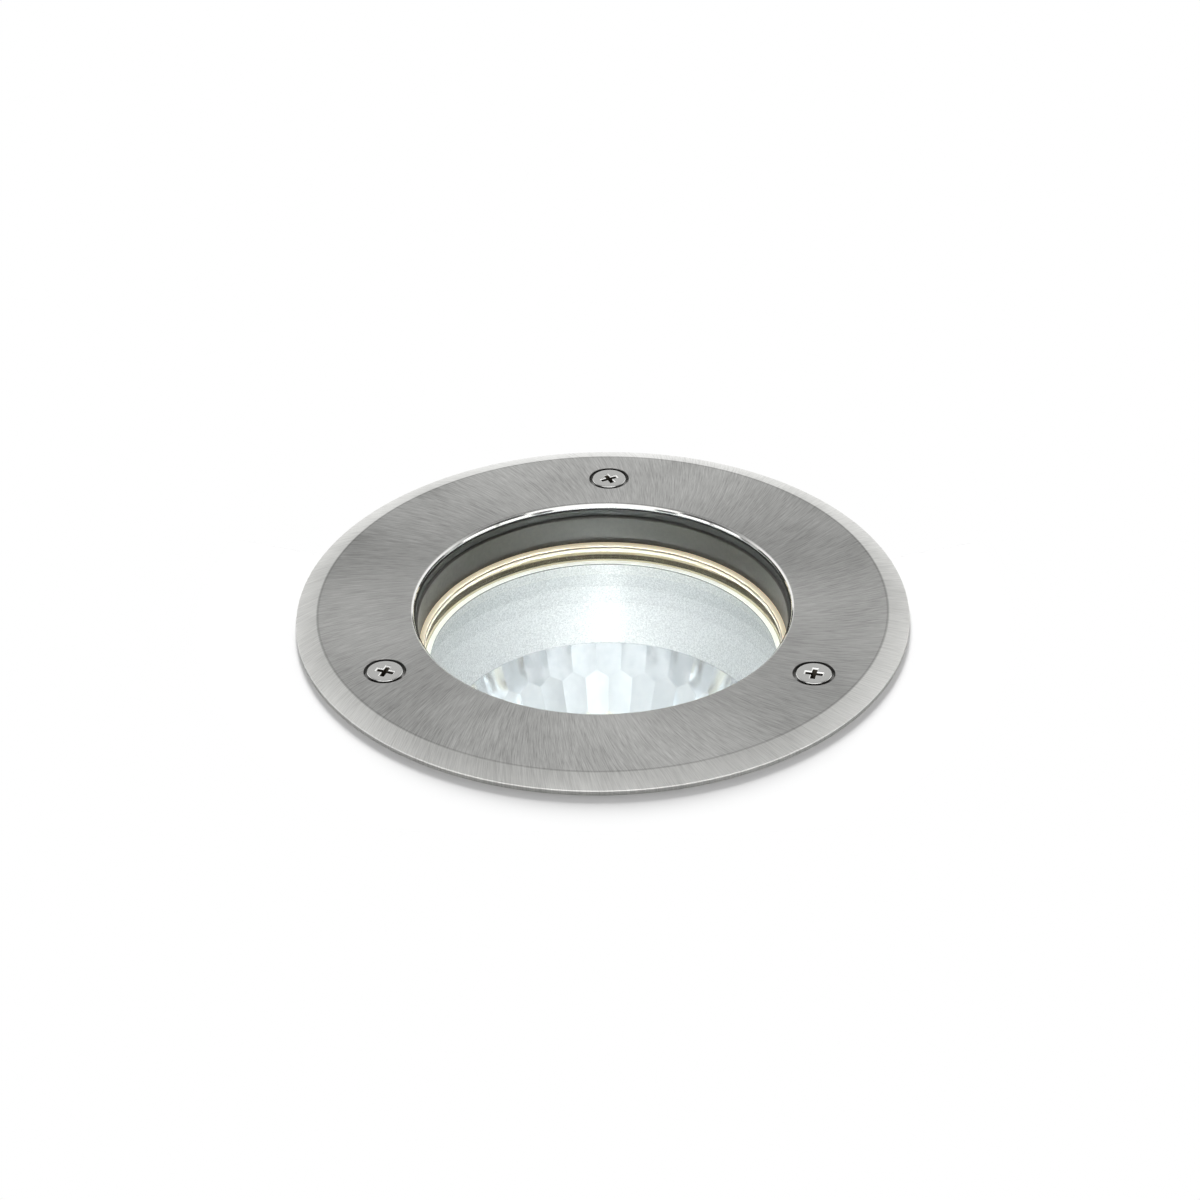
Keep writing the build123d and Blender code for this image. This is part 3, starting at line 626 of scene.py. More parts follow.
@dataclass(frozen=True)
class LeadPairFinish(Finish):
    """Soft insulation of two leads, one colour on each side of the light's middle.

    Attributes:
        name: the material's name.
        left: sRGB hex of the lead at negative X.
        right: sRGB hex of the lead at positive X.
        grain_mm: width of the extrusion's grain.
    """

    name: str
    left: str
    right: str
    grain_mm: float = 0.3

    def surface(self, tree: NodeTree) -> NodeSocket:
        """Link the side to the colour, with a faint extrusion grain.

        Args:
            tree: the material's tree.

        Returns:
            The shader's output.
        """
        place = add_node(tree, "ShaderNodeTexCoord", out="Object")
        side = add_node(tree, "ShaderNodeSeparateXYZ", {0: place}, "X")
        right = add_node(tree, "ShaderNodeMath", {0: side, 1: 0.0}, operation="GREATER_THAN")
        tones = {0: right, 6: linear(self.left), 7: linear(self.right)}
        noise = {"Vector": place, "Scale": 1 / (self.grain_mm * MM)}
        grain = add_node(tree, "ShaderNodeTexNoise", noise, "Fac")
        shader = {
            "Base Color": add_node(tree, "ShaderNodeMix", tones, 2, data_type="RGBA"),
            "Roughness": add_node(tree, "ShaderNodeMapRange", {"Value": grain, "To Min": 0.4, "To Max": 0.55}),
        }
        return add_node(tree, "ShaderNodeBsdfPrincipled", shader)


# Brushed stainless: fine slanted streaks that glow in a broad band, a bevel painted paler as a highlight, a
# painted shade line where it starts, and a mirror-bright inner edge partly lifted by painted highlight.
STEEL_RING = BrushedRingFinish()
# Pickled stainless: a soft pale head with painted glints on its edges, round a cross darkened with painted shade.
STEEL_SCREW = ScrewFinish()
# Moulded rubber: near black and dull, with hardly a sheen.
RUBBER = GrainFinish(
    "rubber_moulded", "30302c", "272724", 0.25, 0.01, 0.55, 0.12, sockets=(("Specular IOR Level", 0.25),)
)
# Satin enamel: an even dark grey that takes a wide soft highlight.
ENAMEL = GrainFinish("enamel_satin_grey", "3f3d36", "383630", 0.9, 0.006, 0.36, 0.06)
# Cast silicone: golden with a painted glow where the lamp would shine through, painted shade in its groove, and a
# wet-looking skin.
SILICONE = LitSiliconeFinish()
# Float glass: nearly unseen, but for reflections and its ground edge.
GLASS = GlassFinish()
# Blasted aluminium: a frosty glitter that turns white where it faces the lamp.
BLASTED = BlastedSleeveFinish()
# Vapour-plated aluminium: a cool mirror, so that each facet shows its own patch of light.
MIRROR = GrainFinish("aluminium_vapour_plated", "e9ebee", "e0e4e8", 1.6, 0.002, 0.1, 0.05, 1.0)
# Lit phosphor: too bright to look into.
LAMP = LampFinish()
# White lacquer: even and slightly glossy.
BOARD = GrainFinish("board_white_lacquer", "f1f1ec", "e6e6e0", 0.5, 0.003, 0.45)
# Filled silicone pad: blue-grey and chalky.
THERMAL_PAD = GrainFinish("silicone_pad_filled", "8f9aa6", "808b97", 0.3, 0.01, 0.75)
# Moulded white nylon: milky, with a fine spark-eroded grain.
HOLDER = GrainFinish("nylon_moulded_white", "eeeeea", "e2e2dd", 0.4, 0.01, 0.5)
# Zinc plate: bright grey with cloudy spots.
ZINC_STEEL = GrainFinish("steel_zinc_plated", "c8cacb", "a9acae", 0.5, 0.006, 0.34, 0.14, 1.0)
# Turned aluminium: fine rings that fan the light out.
TURNED_PLATE = GrainFinish(
    "aluminium_turned", "d6d8d9", "b4b7b9", 0.25, 0.006, 0.34, 0.16, 1.0, Pattern.TURNED, (("Anisotropic", 0.4),)
)
# Foam tape: matt grey with open pores.
FOAM_TAPE = GrainFinish("foam_tape_grey", "5b5b5b", "474747", 0.4, 0.04, 0.85)
# Moulded polycarbonate: black with a fine grain.
DRIVER_CASE = GrainFinish("polycarbonate_moulded_black", "2c2c2d", "232324", 0.35, 0.012, 0.48)
# Poured epoxy: dark, glossy and gently wavy.
POTTING = GrainFinish("epoxy_potting", "37383b", "2c2d30", 2.5, 0.03, 0.25, 0.1)
# Moulded polyamide: cream and waxy.
TERMINAL = GrainFinish("polyamide_moulded_cream", "e4dfcd", "d8d2bd", 0.4, 0.01, 0.5)
# Machined brass: yellow, with tool marks that change its gloss.
BRASS = GrainFinish("brass_machined", "d9b469", "b98f45", 0.3, 0.006, 0.3, 0.14, 1.0)
# Tinned copper: a warm silver, slightly mottled.
TINNED = GrainFinish("copper_tinned", "d5d3cd", "b5b2ab", 0.4, 0.006, 0.36, 0.14, 1.0)
# Silicone insulation: soft black and red.
LED_LEADS = LeadPairFinish("silicone_insulation_pair", "1d1d1f", "b3201c")
# Vinyl insulation: brown and blue supply leads.
SUPPLY_LEADS = LeadPairFinish("vinyl_insulation_pair", "6b3f22", "2a5fa5")
# Vinyl insulation: green with yellow patches, as on an earth lead.
EARTH_LEAD = GrainFinish("vinyl_insulation_green", "5f9a35", "d6cf3a", 2.4, 0.0, 0.45)
# Powder coat on a casting: dark grey orange-peel that breaks up highlights.
POWDER_COAT = GrainFinish("aluminium_cast_powder_coated", "4b4d50", "3c3e41", 0.55, 0.05, 0.55, 0.14)
# Moulded black nylon: a dull sheen over a fine grain.
NYLON = GrainFinish("nylon_moulded_black", "303133", "262729", 0.4, 0.015, 0.5, 0.1)

NODE_FINISHES: dict[str, Finish] = {
    "trim_ring": STEEL_RING,
    **{node: STEEL_SCREW for node in SCREW_NODES},
    "trim_seal": RUBBER,
    "clamp_ring": ENAMEL,
    "lens_gasket": SILICONE,
    "glass_lens": GLASS,
    "glare_sleeve": BLASTED,
    "reflector_bowl": MIRROR,
    "led_emitter": LAMP,
    "led_board": BOARD,
    "thermal_pad": THERMAL_PAD,
    "led_holder": HOLDER,
    "led_holder_screws": ZINC_STEEL,
    "heat_sink": TURNED_PLATE,
    "heat_sink_screws": ZINC_STEEL,
    "plate_standoffs": BRASS,
    "driver_pad": FOAM_TAPE,
    "driver_case": DRIVER_CASE,
    "driver_potting": POTTING,
    "terminal_block": TERMINAL,
    "terminal_contacts": BRASS,
    "terminal_screws": ZINC_STEEL,
    "earth_lug": TINNED,
    "earth_screw": ZINC_STEEL,
    "led_leads": LED_LEADS,
    "driver_leads": SUPPLY_LEADS,
    "earth_lead": EARTH_LEAD,
    "housing": POWDER_COAT,
    "flange_ring": POWDER_COAT,
    "gland_body": NYLON,
    "gland_washer": RUBBER,
    "gland_locknut": NYLON,
    "gland_seal": RUBBER,
    "gland_nut": NYLON,
}


class Bench:
    """Edit-mode work on one new mesh, with what is selected chosen in code."""

    def __init__(self, piece: Object) -> None:
        """Open a piece for editing, all selected.

        Args:
            piece: the active piece.
        """
        self.piece = piece
        bpy.ops.object.mode_set(mode="EDIT")
        bpy.ops.mesh.select_all(action="SELECT")

    @staticmethod
    def clear() -> None:
        """Deselect every object, so that an operator acts on the new piece alone."""
        if bpy.context.object is not None and bpy.context.object.mode != "OBJECT":
            bpy.ops.object.mode_set(mode="OBJECT")
        bpy.ops.object.select_all(action="DESELECT")

    @classmethod
    def take(cls, *pieces: Object) -> None:
        """Select some objects alone and make the first one active.

        Args:
            *pieces: the objects.
        """
        cls.clear()
        for piece in pieces:
            piece.select_set(True)
        bpy.context.view_layer.objects.active = pieces[0]

    @classmethod
    def ring(cls, name: str, columns: int, radius: float, height: float) -> "Bench":
        """Add a ring of edges round the Z axis and open it for editing.

        Args:
            name: the piece's name.
            columns: mesh columns round the axis.
            radius: the ring's radius.
            height: the ring's height.

        Returns:
            The bench with the ring selected.
        """
        cls.clear()
        bpy.ops.mesh.primitive_circle_add(vertices=columns, radius=radius, location=(0, 0, 0))
        piece = bpy.context.object
        piece.name = piece.data.name = name
        bench = cls(piece)
        bpy.ops.transform.translate(value=(0, 0, height))
        return bench

    def pick(self, test: Callable[[BMVert | BMEdge], bool], edges: bool = False) -> None:
        """Select the vertices that pass a test and what lies between them, or the edges that pass it.

        Args:
            test: says whether a vertex or an edge is wanted.
            edges: True to test edges.
        """
        bpy.ops.mesh.select_mode(type="EDGE" if edges else "VERT")
        bpy.ops.mesh.select_all(action="DESELECT")
        mesh = bmesh.from_edit_mesh(self.piece.data)
        for item in mesh.edges if edges else mesh.verts:
            if test(item):
                item.select = True
        mesh.select_flush(True)
        bmesh.update_edit_mesh(self.piece.data)

    def pick_border(self) -> None:
        """Select the edges that have a face on one side only."""
        self.pick(lambda edge: edge.is_boundary, edges=True)

    def ring_up(self, radius: float, height: float, to_radius: float, to_height: float) -> None:
        """Extrude the selected ring of edges to another radius and height.

        Args:
            radius: the ring's radius.
            height: the ring's height.
            to_radius: the new ring's radius.
            to_height: the new ring's height.
        """
        move = {"value": (0, 0, to_height - height)}
        bpy.ops.mesh.extrude_region_move(TRANSFORM_OT_translate=move)
        share = to_radius / radius
        bpy.ops.transform.resize(value=(share, share, 1), center_override=(0, 0, to_height))

    def done(self, outward: bool = False) -> Object:
        """Leave edit mode.

        Args:
            outward: True to turn all faces outwards first.

        Returns:
            The piece.
        """
        if outward:
            bpy.ops.mesh.select_all(action="SELECT")
            bpy.ops.mesh.normals_make_consistent(inside=False)
        bpy.ops.object.mode_set(mode="OBJECT")
        return self.piece


@dataclass(frozen=True)
class TurnedProfile:
    """Outline of a turned piece: corners as radius, height and edge round, all in millimetres.

    Attributes:
        corners: the outline's corners in order.
        arc_steps: mesh steps to a rounded corner.
        solid: True for a piece that is capped at both ends, False for a ring whose outline closes on itself.
    """

    corners: tuple[tuple[float, float, float], ...]
    arc_steps: int = 4
    solid: bool = False

    def points(self) -> list[Vector]:
        """Run along the outline and replace each rounded corner by an arc.

        Returns:
            Points of radius and height in metres.
        """
        found = []
        count = len(self.corners)
        for index, (radius, height, edge) in enumerate(self.corners):
            corner = Vector((radius, height)) * MM
            if edge == 0:
                found.append(corner)
                continue
            before = Vector(self.corners[index - 1][:2]) * MM - corner
            after = Vector(self.corners[(index + 1) % count][:2]) * MM - corner
            half = before.angle(after) / 2
            to_before, to_after = before.normalized(), after.normalized()
            start = corner + to_before * edge * MM / math.tan(half)
            end = corner + to_after * edge * MM / math.tan(half)
            centre = corner + (to_before + to_after).normalized() * edge * MM / math.sin(half)
            for step in range(self.arc_steps + 1):
                chord = start.lerp(end, step / self.arc_steps) - centre
                found.append(centre + chord.normalized() * edge * MM)
        return found

    def build(self, name: str, columns: int) -> Object:
        """Turn the outline round the Z axis.

        Args:
            name: the piece's name.
            columns: mesh columns round the axis.

        Returns:
            The closed piece, flat-shaded.
        """
        points = self.points()
        bench = Bench.ring(name, columns, points[0].x, points[0].y)
        for here, there in zip(points, points[1:]):
            bench.ring_up(here.x, here.y, there.x, there.y)
        bench.pick_border()
        if self.solid:
            bpy.ops.mesh.fill_holes(sides=0)
        else:
            bpy.ops.mesh.bridge_edge_loops()
        return bench.done(outward=True)


def cut(piece: Object, cutter: Object) -> None:
    """Take the cutter's shape out of a piece and remove the cutter.

    Args:
        piece: the piece that keeps what is left.
        cutter: a closed shape that is used up.
    """
    Bench.take(piece)
    bpy.ops.object.modifier_add(type="BOOLEAN")
    tool = piece.modifiers[-1]
    tool.operation = "DIFFERENCE"
    tool.solver = "EXACT"
    tool.object = cutter
    bpy.ops.object.modifier_apply(modifier=tool.name)
    bpy.data.objects.remove(cutter)


def smooth(piece: Object, degrees: float) -> None:
    """Shade arcs smooth and flats flat.

    Args:
        piece: the finished mesh.
        degrees: the largest turn between two faces that still reads as one surface.
    """
    Bench.take(piece)
    bpy.ops.object.shade_smooth_by_angle(angle=math.radians(degrees))
    bpy.ops.object.modifier_add(type="WEIGHTED_NORMAL")
    piece.modifiers[-1].keep_sharp = True
    bpy.ops.object.modifier_apply(modifier=piece.modifiers[-1].name)


def coat(piece: Object, finish: Finish) -> None:
    """Give a new piece one finish."""
    piece.data.materials.clear()
    piece.data.materials.append(finish.material())


def screw_place(node: str) -> tuple[float, float]:
    """Axis of a cover screw, from the box of its CAD node."""
    low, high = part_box(node)
    return ((low[0] + high[0]) / 2, (low[1] + high[1]) / 2)


@dataclass
class CoverRing:
    """Stainless cover ring with a broken bevel, a rolled inner edge and counterbored screw holes.

    Attributes:
        bevel_mm: width of the outer bevel.
        edge_mm: height of the outer edge under the bevel.
        opening_mm: radius of the opening.
        lip_mm: height of the lip's underside.
        seat_mm: radius and height of the step over the seal.
        spigot_mm: radius of the step over the flange.
        mouth_mm: radius of a screw hole's mouth.
        hole_mm: radius of the hole below the mouth.
        shoulder_mm: height of a screw hole's shoulder over the step.
        broken_mm: how far a mouth's broken edge widens.
        columns: mesh columns round the ring and round a hole.
    """

    bevel_mm: float = 4.5
    edge_mm: float = 1.0
    opening_mm: float = 40.0
    lip_mm: float = 1.3
    seat_mm: tuple[float, float] = (44.3, 0.5)
    spigot_mm: float = 58.3
    mouth_mm: float = 4.42
    hole_mm: float = 2.25
    shoulder_mm: float = 0.55
    broken_mm: float = 0.35
    columns: tuple[int, int] = (240, 64)

    def build(self) -> list[Object]:
        """Turn the ring and sink its screw holes.

        Returns:
            The ring in place.
        """
        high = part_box("trim_ring")[1] / MM
        seat_r, step_z = self.seat_mm
        outline = TurnedProfile(
            (
                (self.spigot_mm, 0.0, 0.0),
                (high.x, 0.0, 0.12),
                (high.x, self.edge_mm, 0.3),
                (high.x - self.bevel_mm, high.z, 1.2),
                (self.opening_mm, high.z, 1.0),
                (self.opening_mm, self.lip_mm, 0.15),
                (seat_r, self.lip_mm, 0.0),
                (seat_r, step_z, 0.0),
                (self.spigot_mm, step_z, 0.0),
            ),
            5,
        )
        ring = outline.build("cover_ring", self.columns[0])
        shoulder_z = step_z + self.shoulder_mm
        bore = TurnedProfile(
            (
                (self.hole_mm, -1.0, 0.0),
                (self.hole_mm, step_z + 0.1, 0.0),
                (self.hole_mm + 0.45, shoulder_z, 0.0),
                (self.mouth_mm, shoulder_z, 0.0),
                (self.mouth_mm, high.z - 0.1, 0.0),
                (self.mouth_mm + self.broken_mm, high.z + 0.25, 0.0),
            ),
            solid=True,
        )
        for node in SCREW_NODES:
            cutter = bore.build("screw_hole", self.columns[1])
            cutter.location = (*screw_place(node), 0)
            cut(ring, cutter)
        smooth(ring, 14)
        return [ring]

    @staticmethod
    def dress(pieces: list[Object]) -> None:
        """Give the ring its finish and its place in the assembly.

        Args:
            pieces: the ring.
        """
        ring = pieces[0]
        coat(ring, STEEL_RING)
        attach(ring, "cover")
        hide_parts("trim_ring")


@dataclass
class CoverScrews:
    """Countersunk cross-recess screws with cut threads, each left at its own angle.

    Attributes:
        head_mm: radius of the head.
        land_mm: height of the head's rim.
        proud_mm: height of the head's top over the plain CAD head.
        thread_mm: radius over the thread's crests.
        root_mm: radius of the thread's root.
        pitch_mm: rise of the thread in a turn.
        wing_mm: width of the recess's wings.
        cross_mm: span of the recess across two wings.
        cross_depth_mm: depth of the recess.
        taper: length and width of a wing at its foot, as shares of those at its mouth.
        broken_mm: width of the recess's broken edge.
        turns: angle in degrees at which each screw was left.
    """

    head_mm: float = 3.72
    land_mm: float = 0.25
    proud_mm: float = 0.13
    thread_mm: float = 2.0
    root_mm: float = 1.62
    pitch_mm: float = 0.7
    wing_mm: float = 1.05
    cross_mm: float = 4.3
    cross_depth_mm: float = 1.9
    taper: tuple[float, float] = (0.42, 0.72)
    broken_mm: float = 0.24
    turns: tuple[float, ...] = (27.0, -19.0, -12.0)

    def neck_z(self, top_z: float) -> float:
        """Height in millimetres at which the head's cone meets the shank."""
        return top_z - self.land_mm - (self.head_mm - self.thread_mm)

    def blank(self, low_z: float, top_z: float) -> Object:
        """Turn the screw's blank on the Z axis.

        Args:
            low_z: height of the tip in millimetres.
            top_z: height of the head's top in millimetres.

        Returns:
            The closed blank.
        """
        neck_z = self.neck_z(top_z)
        outline = TurnedProfile(
            (
                (self.root_mm - 0.4, low_z, 0.0),
                (self.root_mm, low_z + 0.5, 0.0),
                (self.root_mm, neck_z - 1.2, 0.0),
                (self.thread_mm, neck_z - 0.8, 0.0),
                (self.thread_mm, neck_z, 0.0),
                (self.head_mm, top_z - self.land_mm, 0.06),
                (self.head_mm, top_z, 0.17),
                (self.head_mm - 0.5, top_z, 0.0),
            ),
            3,
            True,
        )
        return outline.build("cover_screw_1", 48)

    def recess(self, top_z: float) -> list[Object]:
        """Make the two tapered wings that cut the cross recess.

        Args:
            top_z: height of the head's top in millimetres.

        Returns:
            The wings as closed shapes.
        """
        wings = []
        height = self.cross_depth_mm + 0.4
        spans, shares = (self.cross_mm, self.wing_mm), self.taper
        for span, share in ((spans, shares), (spans[::-1], shares[::-1])):
            Bench.clear()
            bpy.ops.mesh.primitive_cube_add(size=1, location=(0, 0, 0))
            bench = Bench(bpy.context.object)
            bpy.ops.transform.resize(value=(span[0] * MM, span[1] * MM, height * MM))
            bpy.ops.transform.translate(value=(0, 0, (top_z + 0.4 - height / 2) * MM))
            bench.pick(lambda vert: vert.co.z < (top_z - 0.5) * MM)
            bpy.ops.transform.resize(value=(*share, 1), center_override=(0, 0, 0))
            wings.append(bench.done())
        return wings

    def thread(self, low_z: float, high_z: float) -> Object:
        """Wind the thread's crest as a ridge round the blank.

        Args:
            low_z: height of the first turn in millimetres.
            high_z: height of the last turn in millimetres.

        Returns:
            The ridge, closed at both ends.
        """
        bench = Bench.ring("thread", 3, 1, 0)
        ridge = bench.piece
        mesh = bmesh.from_edit_mesh(ridge.data)
        sunk_r = self.root_mm - 0.08
        spots = ((sunk_r, 0.0), (self.thread_mm, self.pitch_mm / 2), (sunk_r, self.pitch_mm))
        for vert, (radius, height) in zip(mesh.verts, spots):
            vert.co = Vector((radius, 0, low_z + height * 0.96)) * MM
        bmesh.update_edit_mesh(ridge.data)
        bench.done()
        bpy.ops.object.modifier_add(type="SCREW")
        winding = ridge.modifiers[-1]
        winding.screw_offset = self.pitch_mm * MM
        winding.iterations = int((high_z - low_z) / self.pitch_mm)
        winding.steps = winding.render_steps = 32
        winding.use_smooth_shade = False
        bpy.ops.object.modifier_apply(modifier=winding.name)
        bench = Bench(ridge)
        bench.pick_border()
        bpy.ops.mesh.fill()
        return bench.done(outward=True)

    def break_recess_edge(self, screw: Object, top_z: float) -> None:
        """Round the recess's edge a little, so that it catches the light.

        Args:
            screw: the screw on the Z axis with its recess cut.
            top_z: height of the head's top in millimetres.
        """

        def rim(edge: BMEdge) -> bool:
            """True for an edge between the head's top and a wall of the recess."""
            level = all(abs(end.co.z - top_z * MM) < 1e-6 and end.co.xy.length < 2.6 * MM for end in edge.verts)
            return level and len(edge.link_faces) == 2 and edge.calc_face_angle(0.0) > 0.5

        Bench.take(screw)
        bench = Bench(screw)
        bench.pick(rim, edges=True)
        bpy.ops.mesh.bevel(offset=self.broken_mm * MM, segments=3, affect="EDGES")
        bench.done()

    def build(self) -> list[Object]:
        """Make one screw on the Z axis, copy it and put each copy in its hole.

        Returns:
            The screws in place.
        """
        low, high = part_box(SCREW_NODES[0])
        low_z, top_z = low[2] / MM, high[2] / MM + self.proud_mm
        first = self.blank(low_z, top_z)
        for wing in self.recess(top_z):
            cut(first, wing)
        self.break_recess_edge(first, top_z)
        ridge = self.thread(low_z + 0.5, self.neck_z(top_z) - 1.3)
        Bench.take(first, ridge)
        bpy.ops.object.join()
        smooth(first, 20)
        screws = [first]
        for _ in SCREW_NODES[1:]:
            Bench.take(first)
            bpy.ops.object.duplicate()
            screws.append(bpy.context.object)
        for screw, node, turn in zip(screws, SCREW_NODES, self.turns):
            screw.name = screw.data.name = node.replace("trim", "cover")
            Bench.take(screw)
            bench = Bench(screw)
            # A positive turn of the operator runs clockwise seen from above.
            bpy.ops.transform.rotate(value=-math.radians(turn), orient_axis="Z", center_override=(0, 0, 0))
            bpy.ops.transform.translate(value=(*screw_place(node), 0))
            bench.done()
        return screws

    @staticmethod
    def dress(pieces: list[Object]) -> None:
        """Give the screws their finish and their places in the assembly.

        Args:
            pieces: the screws in the order of their nodes.
        """
        for number, (screw, node) in enumerate(zip(pieces, SCREW_NODES), 1):
            coat(screw, STEEL_SCREW)
            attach(screw, f"screw_{number}")
            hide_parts(node)


@dataclass
class LensGasket:
    """Amber U-section gasket: two ribs above the glass, and a sealing groove in the lip below it.

    Attributes:
        upper_mm: inner radii of the upper lip's two ribs, the upper one first.
        line_mm: radius and height of the line between these ribs.
        lower_mm: inner radius of the lower lip.
        nose_mm: edge round of the upper rib.
        groove_mm: inner radius, outer radius and depth of the groove in the lower lip.
    """

    upper_mm: tuple[float, float] = (38.3, 38.15)
    line_mm: tuple[float, float] = (38.6, -7.73)
    lower_mm: float = 38.45
    nose_mm: float = 0.42
    groove_mm: tuple[float, float, float] = (38.74, 40.6, 1.5)

    def build(self) -> list[Object]:
        """Turn the gasket round the glass.

        Returns:
            The gasket in place.
        """
        low, high = [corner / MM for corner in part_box("lens_gasket")]
        glass_low, glass_high = [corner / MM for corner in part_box("glass_lens")]
        inner, outer, depth = self.groove_mm
        upper_r, lower_r = self.upper_mm
        line_r, line_z = self.line_mm
        outline = TurnedProfile(
            (
                (high.x, high.z, 0.3),
                (upper_r, high.z, self.nose_mm),
                (upper_r, line_z + 0.12, 0.08),
                (line_r, line_z, 0.0),
                (lower_r, line_z - 0.14, 0.12),
                (lower_r, glass_high.z, 0.3),
                (glass_high.x, glass_high.z, 0.0),
                (glass_high.x, glass_low.z, 0.0),
                (outer, glass_low.z, 0.0),
                (outer - 0.15, glass_low.z - depth, 0.1),
                (inner + 0.15, glass_low.z - depth, 0.1),
                (inner, glass_low.z, 0.0),
                (self.lower_mm, glass_low.z, 0.2),
                (self.lower_mm, low.z, 0.2),
                (high.x, low.z, 0.3),
            ),
        )
        gasket = outline.build("gasket_channel", 240)
        smooth(gasket, 30)
        return [gasket]

    @staticmethod
    def dress(pieces: list[Object]) -> None:
        """Give the gasket its finish and its place in the assembly.

        Args:
            pieces: the gasket.
        """
        gasket = pieces[0]
        coat(gasket, SILICONE)
        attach(gasket, "glass_pack")
        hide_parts("lens_gasket")


@dataclass
class GlareSleeve:
    """Tapering sleeve under the glass with a rolled lip at its top.

    Attributes:
        lip_mm: inner radius, outer radius, top and bottom of the rolled lip.
        line_mm: depth and height of the line turned under the lip.
        line_drop_mm: how far this line starts below the lip's top.
        foot_mm: inner radius of the wall at its foot.
        wall_mm: thickness of the wall at its foot.
    """

    lip_mm: tuple[float, float, float, float] = (37.15, 38.36, -13.88, -15.2)
    line_mm: tuple[float, float] = (0.25, 0.32)
    line_drop_mm: float = 0.26
    foot_mm: float = 35.1
    wall_mm: float = 1.0

    def build(self) -> list[Object]:
        """Turn the sleeve.

        Returns:
            The sleeve in place.
        """
        low, high = [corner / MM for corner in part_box("glare_sleeve")]
        inner, outer, top_z, lip_z = self.lip_mm
        deep, tall = self.line_mm
        under_z = top_z - self.line_drop_mm
        outline = TurnedProfile(
            (
                (self.foot_mm + self.wall_mm, low.z, 0.0),
                (high.x - 0.05, lip_z - 0.1, 0.0),
                (outer, lip_z + 0.25, 0.2),
                (outer, top_z, 0.4),
                (inner, top_z, 0.1),
                (inner, under_z, 0.05),
                (inner + deep, under_z - tall / 2, 0.0),
                (inner, under_z - tall, 0.0),
                (self.foot_mm, low.z, 0.0),
            ),
            5,
        )
        sleeve = outline.build("frosted_sleeve", 240)
        smooth(sleeve, 30)
        return [sleeve]

    @staticmethod
    def dress(pieces: list[Object]) -> None:
        """Give the sleeve its finish and its place in the assembly.

        Args:
            pieces: the sleeve.
        """
        sleeve = pieces[0]
        coat(sleeve, BLASTED)
        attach(sleeve, "pot")
        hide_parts("glare_sleeve")


